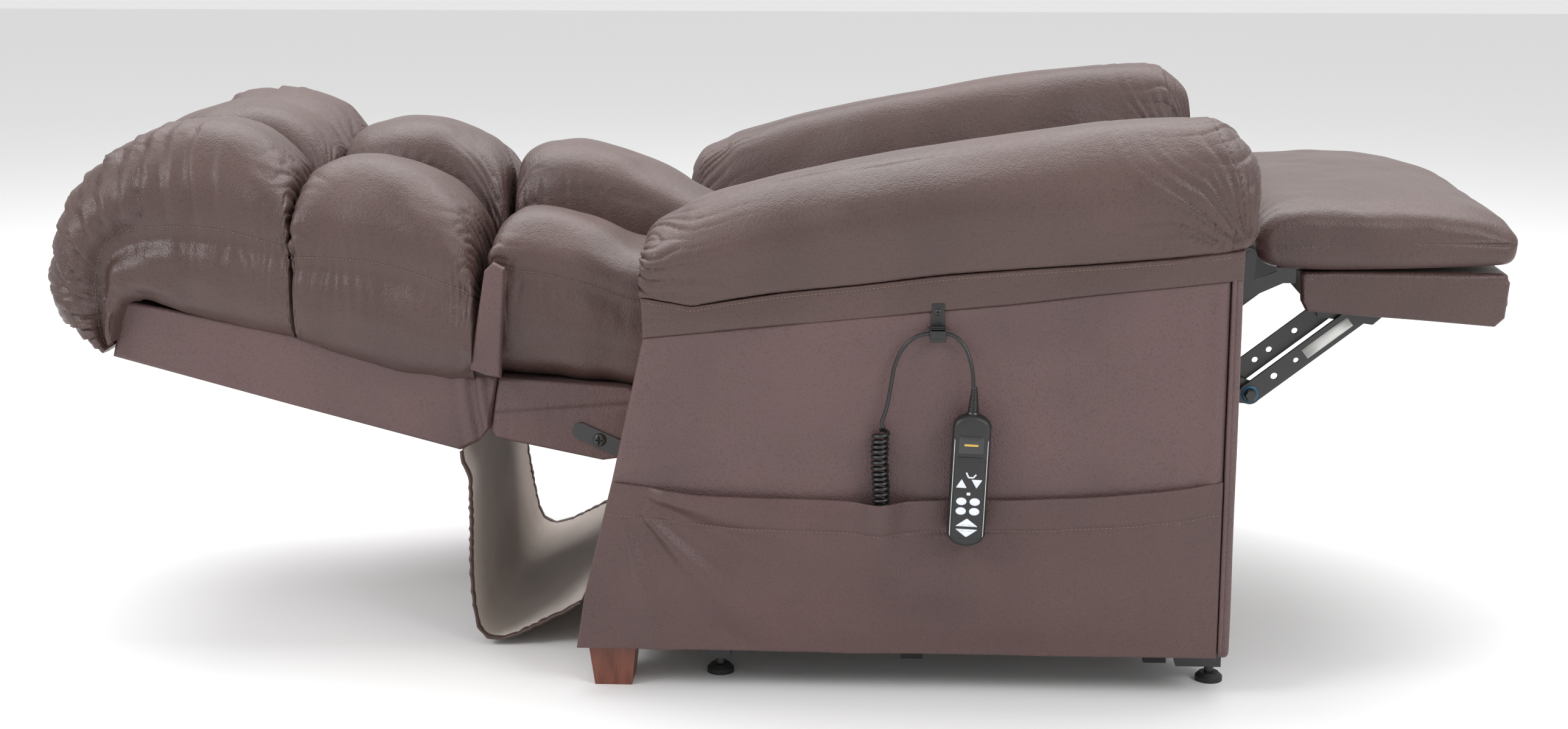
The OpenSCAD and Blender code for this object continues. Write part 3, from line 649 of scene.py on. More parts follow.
MIDDLE = [
    (-0.600, 0.401, -0.600, 0.580, 0.56, 0.62), (-0.594, 0.399, -0.592, 0.608, 0.50, 0.66), (-0.575, 0.392, -0.572, 0.622, 0.475, 0.70),
    (-0.545, 0.380, -0.540, 0.629, 0.475, 0.74), (-0.505, 0.368, -0.500, 0.629, 0.485, 0.76), (-0.460, 0.358, -0.458, 0.618, 0.49, 0.75),
    (-0.420, 0.354, -0.416, 0.598, 0.49, 0.72), (-0.392, 0.352, -0.388, 0.570, 0.52, 0.68), (-0.374, 0.353, -0.370, 0.532, 0.60, 0.62),
]
MIDDLE_M = [
    (-0.600, 0.401, -0.590, 0.575, 0.5, 0.62), (-0.594, 0.399, -0.583, 0.618, 0.5, 0.66), (-0.575, 0.392, -0.566, 0.640, 0.475, 0.70),
    (-0.545, 0.380, -0.535, 0.655, 0.475, 0.74), (-0.505, 0.368, -0.495, 0.662, 0.485, 0.76), (-0.460, 0.358, -0.450, 0.659, 0.49, 0.75),
    (-0.420, 0.354, -0.405, 0.640, 0.49, 0.72), (-0.392, 0.352, -0.375, 0.614, 0.52, 0.68), (-0.374, 0.353, -0.360, 0.572, 0.60, 0.62),
]
LUMBAR = [
    (-0.345, 0.360, -0.352, 0.512, 0.86, 0.62), (-0.338, 0.359, -0.346, 0.545, 0.75, 0.66), (-0.315, 0.357, -0.320, 0.562, 0.64, 0.70),
    (-0.275, 0.354, -0.275, 0.560, 0.62, 0.74), (-0.230, 0.350, -0.225, 0.545, 0.62, 0.76), (-0.185, 0.345, -0.175, 0.522, 0.62, 0.78),
    (-0.150, 0.338, -0.125, 0.520, 0.60, 0.80), (-0.110, 0.326, -0.060, 0.520, 0.55, 0.80), (-0.080, 0.318, 0.000, 0.498, 0.5, 0.80),
    (-0.060, 0.314, 0.034, 0.455, 0.45, 0.80), (-0.050, 0.314, 0.042, 0.405, 0.5, 0.8),
]
LUMBAR_M = [
    (-0.345, 0.360, -0.352, 0.560, 0.5, 0.62), (-0.338, 0.359, -0.345, 0.602, 0.5, 0.66), (-0.315, 0.357, -0.318, 0.622, 0.5, 0.70),
    (-0.275, 0.354, -0.270, 0.630, 0.5, 0.74), (-0.230, 0.350, -0.215, 0.620, 0.5, 0.76), (-0.185, 0.345, -0.160, 0.598, 0.5, 0.78),
    (-0.150, 0.338, -0.105, 0.566, 0.5, 0.80), (-0.110, 0.326, -0.050, 0.540, 0.55, 0.80), (-0.080, 0.318, 0.004, 0.508, 0.5, 0.80),
    (-0.060, 0.314, 0.036, 0.460, 0.45, 0.80), (-0.050, 0.314, 0.044, 0.405, 0.5, 0.8),
]


def head_fan(seed):
    def f(U, V, T, d0, d1, L, total):
        # folds that fan out from the curved seam round the end of the headrest
        start = smooth(0.115, 0.20, d0) * (1 - smooth(0.0, 0.012, 0.004 - d1))
        side = smooth(0.29, 0.34, T) * (1 - 0.72 * smooth(0.50, 0.66, T)) * (1 - smooth(0.84, 0.88, T))
        lanes = U * 27 + 0.8 * noise2(U * 11, T * 4, seed) + 2.2 * (T - 0.3)
        amp = 0.7 + 0.5 * noise2(np.floor(lanes) * 1.7, 0.4 + 0 * T, seed + 1)
        g = (pleat(lanes) - 0.45) * amp
        fine = (fold(U * 74 + 1.5 * noise2(U * 30, T * 9, seed + 3)) - 0.6) * 0.22
        under = 1 - smooth(0.0, 0.06, d1)
        return start * side * (g + fine) * 0.0125 * (1 - 0.4 * under) - 0.010 * start * np.exp(-((T - 0.30) / 0.03) ** 2) * smooth(0.2, 0.3, d0)
    return f


def head_fan_mid(seed):
    def f(U, V, T, d0, d1, L, total):
        start = smooth(0.26, 0.36, d0)
        lanes = V * 38 + 0.9 * noise2(V * 20, U * 9, seed)
        return start * 0.0035 * (fold(lanes) - 0.6) * (0.4 + smooth(0.1, 0.0, d1))
    return f


ROWS = {
    "head": (HEAD, HEAD_M, (1, 0.0), 176),
    "middle": (MIDDLE, MIDDLE_M, (1, 1), 120),
    "lumbar": (LUMBAR, LUMBAR_M, (1, 0.0), 128),
}
node_of = {"head": "head_cushions", "middle": "middle_cushions", "lumbar": "lumbar_cushions"}
for row, (side_rows, mid_rows, gath, n) in ROWS.items():
    wo = {"head": 0.289, "middle": 0.290, "lumbar": 0.2675}[row]
    made = []
    for tag, sgn, sd in (("handset_side", -1, 11), ("far_side", 1, 57)):
        o, seam, P = back_pillow(f"{row}_cushion_{tag}", side_rows, 0.0895, wo, 0.192 if row != "lumbar" else 0.182, n, 132, sd + len(row) * 3, sgn, gath, head_fan(sd + 90) if row == "head" else None)
        subdivide(o)
        ride(o, "backrest", [node_of[row]])
        if row == "head":
            keep = slice(8, int(n * 0.97))
        elif row == "middle":
            keep = slice(6, n - 6)
        else:
            keep = slice(6, int(n * 0.62))
        seg = seam[keep]
        nr = np.tile([0.0, float(sgn), 0.25], (len(seg), 1))
        stitches(f"{row}_seam_stitches_{tag}", seg + np.array([0, sgn * 0.0006, 0]), nr, "backrest", pitch=0.0048, size=0.0034)
    o, _, _ = back_pillow(f"{row}_cushion_middle", mid_rows, 0.0875, 0.0875, 0.0, n, 120, 300 + len(row), 0, gath, head_fan_mid(70) if row == "head" else None, mid=True)
    subdivide(o)
    ride(o, "backrest", [node_of[row]])


# ------------------------------------------------------------------ generic covered boards
def edgy(n, length, r):
    """0..1 with extra points within r of each end."""
    a = np.array([0, 0.12, 0.3, 0.55, 0.8]) * r / length
    m = np.linspace(r / length, 1 - r / length, n)
    return np.r_[a, m, (1 - a)[::-1]]


def slab(name, bottom, top, y_out, thick, r, mat, disp=None, nu=160, nv=90, sgn=-1):
    """A covered board lying in an XZ face. bottom and top are chains of (x, z) from low x to high x; the outer face is at |y| = y_out."""
    Lx = abs(bottom[-1][0] - bottom[0][0])
    Lz = abs(top[len(top) // 2][1] - bottom[len(bottom) // 2][1])
    u, v = edgy(nu, Lx, r), edgy(nv, Lz, r)
    b, t = polyline(bottom, 400), polyline(top, 400)
    k = np.linspace(0, 1, 400)
    bx = np.stack([np.interp(u, k, b[:, i]) for i in (0, 1)], 1)
    tx = np.stack([np.interp(u, k, t[:, i]) for i in (0, 1)], 1)
    XZ = bx[:, None] * (1 - v)[None, :, None] + tx[:, None] * v[None, :, None]
    X, Z = XZ[:, :, 0], XZ[:, :, 1]
    dl = np.minimum(np.minimum(u, 1 - u)[:, None] * Lx, np.minimum(v, 1 - v)[None, :] * np.maximum(np.abs(tx - bx)[:, 1:2], 1e-4))
    kk = np.clip(1 - dl / r, 0, 1)
    Y = y_out - r * (1 - np.sqrt(np.clip(1 - kk**2, 0, 1)))
    if disp is not None:
        Y = Y + disp(X, Z, u[:, None] + 0 * X, v[None, :] + 0 * X) * smooth(0.0, 1.0, np.clip(dl / (r * 1.2), 0, 1))
    nu_, nv_ = X.shape
    F = np.stack([X, sgn * Y, Z], -1).reshape(-1, 3)
    Bk = np.stack([X, sgn * (np.full_like(Y, y_out) - thick), Z], -1).reshape(-1, 3)
    f = grid_faces(nu_, nv_)
    g = [tuple(reversed([a + nu_ * nv_ for a in q])) for q in f]
    idx = np.arange(nu_ * nv_).reshape(nu_, nv_)
    ring = np.r_[idx[0, :], idx[1:, -1], idx[-1, -2::-1], idx[-2:0:-1, 0]]
    rim = []
    for i in range(len(ring)):
        a, c = ring[i], ring[(i + 1) % len(ring)]
        rim.append((a, c, c + nu_ * nv_, a + nu_ * nv_))
    return outward(put(name, np.vstack([F, Bk]), f + g + rim, mat))


# ------------------------------------------------------------------ arms: covered side panels
PANEL_BOTTOM = [(-0.2245, 0.055), (0.5615, 0.055)]
TOP_EDGE = [(-0.137, 0.449), (-0.062, 0.457), (0.032, 0.467), (0.126, 0.4765), (0.219, 0.486), (0.312, 0.4955), (0.405, 0.507), (0.496, 0.517), (0.560, 0.525)]
REAR = [(-0.2245, 0.055), (-0.214, 0.122), (-0.178, 0.267), (-0.137, 0.449)]


def panel_face(name, sgn, seed):
    """The whole side between the floor edge and the band, wrapped round the front and rear boards."""
    z = edgy(120, 0.47, 0.006)
    u = edgy(200, 0.75, 0.008)
    rear = np.array(REAR)
    te = np.array(TOP_EDGE)
    ztop = lambda x: np.interp(x, te[:, 0], te[:, 1])
    X = np.zeros((len(u), len(z)))
    Z = np.zeros_like(X)
    for i, a in enumerate(u):
        xt = te[0, 0] + a * (te[-1, 0] - te[0, 0])
        zt = ztop(xt)
        zz = 0.055 + (zt - 0.055) * z
        xr = np.interp(zz, rear[:, 1], rear[:, 0])
        X[i] = xr + a * (0.561 - xr)
        Z[i] = zz
    dl = np.minimum(np.minimum(u, 1 - u)[:, None] * 0.75, np.minimum(z, 1 - z)[None] * 0.45)
    r = 0.006
    kk = np.clip(1 - dl / r, 0, 1)
    Y = 0.4405 - r * (1 - np.sqrt(np.clip(1 - kk**2, 0, 1)))
    A = u[:, None] + 0 * X
    d = 0.0011 * noise2(X * 7, Z * 8, seed) + 0.0005 * noise2(X * 22, Z * 15, seed + 1)
    # a faint upright roll over the edge of the front board, and puckers under the band
    d += -0.0016 * np.exp(-((X - 0.533 - 0.003 * noise2(Z * 9, 0.5, seed + 3)) / 0.010) ** 2)
    d += 0.0012 * np.exp(-((X - 0.548) / 0.008) ** 2)
    top = (1 - z)[None] * 0.45
    d += 0.0008 * (fold(X * 20 + 0.8 * noise2(X * 9, Z * 4, seed + 5)) - 0.6) * np.exp(-(top / 0.025) ** 2)
    # a long soft crease that climbs from the rear edge above the pocket
    q = (Z - 0.285) - 0.18 * (X + 0.17)
    d += 0.0020 * np.exp(-(q / 0.016) ** 2) * smooth(0.19, -0.17, X) - 0.0016 * np.exp(-((q + 0.02) / 0.014) ** 2) * smooth(0.14, -0.17, X)
    Y = Y + d * smooth(0, 1, np.clip(dl / 0.010, 0, 1))
    n1, n2 = X.shape
    F = np.stack([X, sgn * Y, Z], -1).reshape(-1, 3)
    Bk = np.stack([X, np.full_like(Y, sgn * 0.4270), Z], -1).reshape(-1, 3)
    f = grid_faces(n1, n2)
    g = [tuple(reversed([a + n1 * n2 for a in q])) for q in f]
    idx = np.arange(n1 * n2).reshape(n1, n2)
    ring = np.r_[idx[0, :], idx[1:, -1], idx[-1, -2::-1], idx[-2:0:-1, 0]]
    rim = [(ring[i], ring[(i + 1) % len(ring)], ring[(i + 1) % len(ring)] + n1 * n2, ring[i] + n1 * n2) for i in range(len(ring))]
    return outward(put(name, np.vstack([F, Bk]), f + g + rim, M_PANEL))


for tag, sgn, seed in (("handset_side", -1, 201), ("far_side", 1, 241)):
    ride(panel_face(f"side_panel_{tag}", sgn, seed), "chair_body", ["side_panels"])

# ------------------------------------------------------------------ pockets
HEM = [(-0.1765, 0.268), (-0.120, 0.262), (-0.062, 0.256), (0.033, 0.253), (0.128, 0.2515), (0.223, 0.253), (0.317, 0.255), (0.411, 0.260), (0.504, 0.269), (0.5605, 0.278)]
REAR_P = [(-0.2240, 0.0556), (-0.2135, 0.122), (-0.1765, 0.268)]


def pocket(name, sgn, seed, coil):
    hem = curve(HEM, 400)
    rear = np.array(REAR_P)
    u = edgy(220, 0.75, 0.004)
    v = edgy(130, 0.2, 0.003)
    X = np.zeros((len(u), len(v)))
    Z = np.zeros_like(X)
    hk = np.linspace(0, 1, 400)
    for i, a in enumerate(u):
        hx, hz = np.interp(a, hk, hem[:, 0]), np.interp(a, hk, hem[:, 1])
        zz = 0.0556 + (hz - 0.0556) * v
        xr = np.interp(zz, rear[:, 1], rear[:, 0])
        X[i] = xr + a * (0.5605 - xr)
        Z[i] = zz
    A = u[:, None] + 0 * X
    V = v[None] + 0 * X
    hz = np.interp(X, hem[:, 0], hem[:, 1])
    below = hz - Z
    # bulge: loose at the hem, flat at the floor and at both ends
    loose = smooth(0, 0.16, A) * (1 - smooth(0.88, 1.0, A))
    b = 0.0065 * loose * smooth(0.0, 0.75, V) + 0.003 * loose * np.exp(-((V - 0.45) / 0.25) ** 2)
    if coil:
        b += 0.0235 * np.exp(-((X - 0.149) / 0.026) ** 2) * smooth(0.28, 0.92, V) ** 1.3
        b -= 0.004 * np.exp(-((X - 0.262) / 0.035) ** 2) * smooth(0.55, 0.9, V)
    # folds that radiate from the upper rear corner
    cx, cz = -0.172, 0.262
    R = np.hypot(X - cx, Z - cz)
    th = np.arctan2(cz - Z, X - cx)
    fall = np.exp(-(R / 0.30) ** 1.6) * smooth(0.01, 0.09, R)
    b += 0.0052 * fall * (np.sin(th * 11 + 1.2 * noise2(th * 3, R * 6, seed)) + 0.35 * np.sin(th * 23 + 2)) * smooth(0, 0.3, th + 0.05)
    b += 0.0045 * np.exp(-((th - 0.10 - 0.12 * R) / 0.07) ** 2) * smooth(0.02, 0.12, R) * (1 - smooth(0.2, 0.36, R))
    # slack waves lower down and toward the middle
    w = noise2(X * 6 + Z * 4, Z * 9 - X * 2, seed + 1)
    b += 0.0034 * w * smooth(0, 0.2, V) * (1 - smooth(0.9, 1.0, V)) * (0.4 + 0.6 * loose)
    b += 0.0014 * noise2(X * 17, Z * 20, seed + 2) * (0.3 + 0.7 * loose)
    # two broad drapes that meet near the middle of the bottom edge
    for px, wd, am in ((0.16, 0.075, 0.0055), (0.36, 0.09, 0.004), (-0.02, 0.07, 0.0035)):
        b += am * np.exp(-((X - px - 0.35 * (Z - 0.15)) / wd) ** 2) * np.exp(-((V - 0.30) / 0.28) ** 2)
    # the hem: a folded double edge with its row of stitching below
    st = below - 0.040
    b += -0.0012 * np.exp(-(st / 0.0022) ** 2) + 0.0012 * (1 - smooth(0.030, 0.042, below)) 
    b += 0.0007 * (fold(X * 52 + 1.5 * noise2(X * 20, Z * 9, seed + 4)) - 0.6) * np.exp(-(st / 0.012) ** 2)
    b += 0.0012 * noise2(X * 19, 0.3 + 0 * X, seed + 6) * np.exp(-(below / 0.03) ** 2)
    # left end of the hem lies in two pressed folds
    b += 0.0026 * np.exp(-((X + 0.118 - 0.5 * (Z - 0.25)) / 0.010) ** 2) * smooth(0.08, 0.0, below)
    b -= 0.0022 * np.exp(-((X + 0.137 - 0.5 * (Z - 0.25)) / 0.010) ** 2) * smooth(0.08, 0.0, below)
    b = np.maximum(b, 0.0004)
    edge_u = np.minimum(u, 1 - u)[:, None] * 0.75
    b = b * smooth(0, 0.03, edge_u)
    base = 0.4425
    Y = base + b
    edge = np.minimum(edge_u, np.minimum(v[None] * 0.2, 10))
    k = np.clip(1 - edge / 0.0022, 0, 1)
    Y = Y - 0.0022 * (1 - np.sqrt(np.clip(1 - k**2, 0, 1)))
    # rounded lip along the hem
    lip = np.clip(1 - (1 - v)[None] * 0.2 / 0.0016, 0, 1)
    Y = Y - 0.0014 * (1 - np.sqrt(np.clip(1 - lip**2, 0, 1)))
    inner = np.maximum(Y - 0.0030, 0.4409)
    inner[:, -1] = Y[:, -1] - 0.0010
    n1, n2 = X.shape
    F = np.stack([X, sgn * Y, Z], -1).reshape(-1, 3)
    Bk = np.stack([X, sgn * inner, Z], -1).reshape(-1, 3)
    f = grid_faces(n1, n2)
    g = [tuple(reversed([a + n1 * n2 for a in q])) for q in f]
    idx = np.arange(n1 * n2).reshape(n1, n2)
    ring = np.r_[idx[0, :], idx[1:, -1], idx[-1, -2::-1], idx[-2:0:-1, 0]]
    rim = [(ring[i], ring[(i + 1) % len(ring)], ring[(i + 1) % len(ring)] + n1 * n2, ring[i] + n1 * n2) for i in range(len(ring))]
    o = outward(put(name, np.vstack([F, Bk]), f + g + rim, M_LEATHER_P))
    # stitching follows the finished surface
    chain = []
    for i in range(3, n1 - 3):
        j = np.argmin(np.abs(below[i] - 0.040))
        chain.append((X[i, j], sgn * (Y[i, j] + 0.0001), Z[i, j]))
    chain = np.array(chain)
    chain[:, 2] = np.convolve(np.r_[chain[0, 2], chain[:, 2], chain[-1, 2]], [0.25, 0.5, 0.25], "valid")
    return o, chain


M_LEATHER_P = leather("leather_pocket", (0.079, 0.042, 0.039), 1.0, 0.44)
for tag, sgn, seed, coil in (("handset_side", -1, 401, True), ("far_side", 1, 441, False)):
    o, chain = pocket(f"side_pocket_{tag}", sgn, seed, coil)
    ride(o, "chair_body", ["side_pockets"])
    stitches(f"pocket_stitches_{tag}", chain, (0, sgn, 0), "chair_body")

# ------------------------------------------------------------------ front facings
for tag, sgn in (("handset_side", -1), ("far_side", 1)):
    def shp(P, p, nrm, y, sgn=sgn):
        n1, n2 = P.shape[:2]
        zz = P[:, :, 2]
        P[:, :, 0] += 0.0012 * noise2(zz * 9, P[:, :, 1] * 16, 77) * (P[:, :, 0] > 0.570)
        return P
    zt = 0.556
    a, b = (0.268, 0.4405)
    outline = [(0.5618, 0.055), (0.5765, 0.055), (0.5765, zt), (0.5618, zt)]
    o = pillow(f"arm_front_facing_{tag}", outline, *((-b, -a) if sgn < 0 else (a, b)), 0.006, M_PANEL, ny=60, n=220, round_corners=2, shape=shp)
    ride(o, "chair_body", ["arm_front_facings"])
    piping(f"front_welt_{tag}", [(0.5648, sgn * 0.4395, z) for z in np.linspace(0.058, 0.550, 60)], 0.0030, M_PANEL, "chair_body")

# ------------------------------------------------------------------ arm pads
SEAM = curve([(-0.141, 0.497), (-0.100, 0.490), (-0.078, 0.486), (-0.061, 0.489), (-0.015, 0.497), (0.033, 0.504), (0.126, 0.514), (0.219, 0.526), (0.311, 0.534), (0.403, 0.541), (0.495, 0.549), (0.572, 0.559), (0.592, 0.575)], 300)
CREST = curve([(-0.141, 0.562), (-0.126, 0.577), (-0.096, 0.592), (-0.067, 0.606), (0.028, 0.634), (0.123, 0.655), (0.218, 0.671), (0.312, 0.686), (0.405, 0.699), (0.470, 0.705), (0.525, 0.7065), (0.555, 0.703), (0.580, 0.690), (0.592, 0.672)], 300)


def arm_pad(name, sgn, seed):
    n, m = 230, 176
    x0, x1 = -0.141, 0.5915
    t = np.linspace(-1, 1, n)
    e = np.sign(t) * (1 - (1 - np.abs(t)) ** 1.7)
    x = (x0 + x1) / 2 + (x1 - x0) / 2 * e
    seam, crest = np.interp(x, SEAM[:, 0], SEAM[:, 1]), np.interp(x, CREST[:, 0], CREST[:, 1])
    th = np.linspace(0, 1, m, endpoint=False)
    rf, rr = 0.050, 0.016
    inf = rf * (1 - np.sqrt(np.clip(1 - np.clip(1 - (x1 - x) / rf, 0, 1) ** 2.4, 0, 1)))
    inr = rr * (1 - np.sqrt(np.clip(1 - np.clip(1 - (x - x0) / rr, 0, 1) ** 2, 0, 1)))
    P = np.zeros((n, m, 3))
    for i in range(n):
        ins = inf[i] * 0.75 + inr[i] * 0.8
        s, c = seam[i], crest[i]
        h = c - s
        wo, wi, wc = 0.4436 - inf[i] * 0.40, 0.2735 + ins * 0.8, 0.352
        # underside, outer wall and roll, top, inner wall
        q = np.zeros((m, 2))
        a = th < 0.14
        b = (th >= 0.14) & (th < 0.60)
        g = th >= 0.60
        q[a, 0], q[a, 1] = wi + 0.006 + (wo - wi - 0.008) * th[a] / 0.14, s - 0.004 * np.sin(np.pi * th[a] / 0.14) * 0
        k = (th[b] - 0.14) / 0.46
        ang = k * np.pi / 2
        hh = h - ins * 0.5
        bulge = min(0.0175, 0.2 * h) * (1 - 0.8 * inf[i] / rf)
        q[b, 0] = wc + (wo - wc) * np.cos(ang) ** 0.66 + bulge * np.sin(2 * ang) ** 1.1 * np.exp(-((k - 0.30) / 0.34) ** 2)
        q[b, 1] = s + hh * np.sin(ang) ** 0.86
        k = (th[g] - 0.60) / 0.40
        ang = np.pi / 2 * (1 - k)
        low = s - 0.035 * (1 - inf[i] / rf) * (1 - inr[i] / rr)
        q[g, 0] = wc - (wc - wi) * np.cos(ang) ** 0.72
        q[g, 1] = low + (s + hh - low) * np.sin(ang) ** 0.80
        P[i, :, 0], P[i, :, 1], P[i, :, 2] = x[i], q[:, 0], q[:, 1]
    # front end leans back a little near the top
    P[:, :, 0] -= smooth(0.50, 0.60, P[:, :, 0]) * 0.010 * smooth(0.66, 0.70, P[:, :, 2])
    du, dv = np.gradient(P, axis=0), np.roll(P, -1, 1) - np.roll(P, 1, 1)
    N = np.cross(du, dv)
    N /= np.linalg.norm(N, axis=2)[:, :, None] + 1e-12
    if np.sum(N * (P - P.mean(1, keepdims=True))) < 0:
        N = -N
    X, W, Z = P[:, :, 0], P[:, :, 1], P[:, :, 2]
    sec = np.linalg.norm(np.roll(P, -1, 1) - P, axis=2)
    L = np.cumsum(sec, axis=1)
    T = th[None] + 0 * X
    disp = 0.0030 * noise2(X * 6, L * 9, seed) + 0.0012 * noise2(X * 17, L * 19, seed + 1)
    disp *= smooth(0.14, 0.2, T)
    # gathers at the rear end
    dr = X - x0
    lanes = L * 48 + 1.2 * noise2(L * 22, dr * 14, seed + 2)
    amp = 0.55 + 0.45 * noise2(np.floor(lanes) * 1.9, 0.2 + 0 * lanes, seed + 3)
    disp += 0.0085 * (fold(lanes) - 0.70) * amp * np.exp(-(np.maximum(dr, 0) / (0.026 + 0.040 * amp)) ** 1.4) * smooth(0.12, 0.17, T)
    # pleats that gather toward the lower front corner of the outer face
    cx, cz = 0.580, 0.560
    ang = np.arctan2(Z - cz, cx - X)
    R = np.sqrt((X - cx) ** 2 + (Z - cz) ** 2 + (np.clip(0.43 - W, 0, 1) * 0.8) ** 2)
    lanes = ang * 7.5 + 1.1 * noise2(ang * 3.1, R * 13, seed + 4)
    amp = 0.6 + 0.5 * noise2(np.floor(lanes) * 1.3, 0.7 + 0 * lanes, seed + 5)
    reach = 0.060 + 0.070 * amp
    disp += 0.0105 * (pleat(lanes) - 0.5) * amp * np.exp(-(R / reach) ** 1.7) * smooth(0.003, 0.022, R) * smooth(0.12, 0.17, T)
    # folds over the top of the front roll
    df = x1 - X
    lanes = L * 34 + 1.2 * noise2(L * 18, df * 12, seed + 6)
    amp = 0.5 + 0.5 * noise2(np.floor(lanes) * 2.1, 0.9 + 0 * lanes, seed + 7)
    disp += 0.0075 * (fold(lanes) - 0.68) * amp * np.exp(-(np.maximum(df, 0) / (0.030 + 0.042 * amp)) ** 1.6) * smooth(0.25, 0.36, T)
    # seam pulls in, with fine puckers above it
    near = np.exp(-((T - 0.14) / 0.012) ** 2)
    disp -= 0.0006 * near
    disp += 0.0008 * (fold(X * 46 + 1.6 * noise2(X * 21, T * 5, seed + 8)) - 0.6) * np.exp(-((T - 0.17) / 0.035) ** 2)
    # long flat wrinkles on top of the far and near rolls
    for wx, wl, am, tl in ((0.06, 0.05, 0.0016, 0.52), (0.10, 0.04, 0.0014, 0.56), (0.16, 0.05, 0.0012, 0.50)):
        disp -= am * np.exp(-((T - tl - 0.10 * (X - wx)) / 0.006) ** 2) * np.exp(-((X - wx) / wl) ** 2)
    P += N * disp[:, :, None]
    P[:, :, 1] *= sgn
    o = loft(name, P, M_LEATHER)
    j = int(round(0.14 * m))
    return o, P[:, j + 2, :].copy()


for tag, sgn, seed in (("handset_side", -1, 601), ("far_side", 1, 655)):
    o, sm = arm_pad(f"arm_pad_{tag}", sgn, seed)
    subdivide(o)
    ride(o, "chair_body", ["arm_pads"])
    s = curve([(x, sgn * 0.4432, z - 0.0050) for x, z in SEAM[4:-14]], 260)
    stitches(f"arm_pad_stitches_{tag}", s, (0, sgn, 0), "chair_body", pitch=0.0046, size=0.0032)

# ------------------------------------------------------------------ band below each arm pad
for tag, sgn, seed in (("handset_side", -1, 701), ("far_side", 1, 731)):
    top = [(-0.1395, 0.4965), (-0.078, 0.4865), (-0.061, 0.489), (0.033, 0.504), (0.126, 0.514), (0.219, 0.526), (0.311, 0.534), (0.403, 0.541), (0.495, 0.549), (0.576, 0.560)]
    bot = [(-0.1375, 0.4465), (-0.062, 0.4545), (0.032, 0.4645), (0.126, 0.474), (0.219, 0.4835), (0.312, 0.493), (0.405, 0.5045), (0.496, 0.5145), (0.575, 0.5235)]
    def dsp(X, Z, A, V, seed=seed):
        d = 0.0010 * noise2(X * 10, Z * 30, seed) + 0.0006 * noise2(X * 30, Z * 40, seed + 1)
        d += 0.0016 * np.sin(np.pi * V) ** 0.7
        d += 0.0012 * (fold(Z * 85 + 1.2 * noise2(Z * 30, X * 9, seed + 2)) - 0.6) * np.exp(-((X + 0.14) / 0.03) ** 2)
        d += 0.0012 * (fold(Z * 75 + 1.2 * noise2(Z * 30, X * 9, seed + 3)) - 0.6) * np.exp(-((X - 0.575) / 0.02) ** 2)
        d += 0.0006 * (fold(X * 40 + 1.5 * noise2(X * 14, Z * 7, seed + 4)) - 0.6) * smooth(0.7, 1, V)
        return d
    o = slab(f"arm_band_{tag}", bot, top, 0.4420, 0.014, 0.0022, M_LEATHER, dsp, 220, 34, sgn)
    ride(o, "chair_body", ["arm_pads"])

# ------------------------------------------------------------------ seat cushion
def seat_shape(P, p, nrm, y):
    X, Y, Z = P[:, :, 0].copy(), P[:, :, 1].copy(), P[:, :, 2].copy()
    up = smooth(0.50, 0.54, Z)
    P[:, :, 2] += up * (0.016 * (1 - (Y / 0.27) ** 2) + 0.003 * noise2(X * 8, Y * 8, 811) + 0.001 * noise2(X * 25, Y * 25, 812))
    P[:, :, 0] += smooth(0.58, 0.60, X) * (0.003 * (1 - (Y / 0.27) ** 2) + 0.002 * noise2(Y * 12, Z * 12, 813) + 0.0015 * (fold(Y * 40 + noise2(Y * 20, 0.5, 814)) - 0.6) * smooth(0.53, 0.56, Z))
    return P


seat_out = [(0.075, 0.452), (0.589, 0.452), (0.591, 0.505), (0.598, 0.518), (0.586, 0.546), (0.560, 0.550), (0.400, 0.540), (0.200, 0.530), (0.075, 0.526)]
o = pillow("seat_cushion_cover", seat_out, -0.2615, 0.2615, 0.018, M_LEATHER, ny=90, n=320, round_corners=14, shape=seat_shape)
subdivide(o)
ride(o, "chair_body", ["seat_cushion"])
piping("seat_front_welt", [(0.5905 + 0.0015 * (1 - (y / 0.26) ** 2), y, 0.470) for y in np.linspace(-0.254, 0.254, 90)], 0.0028, M_LEATHER, "chair_body")

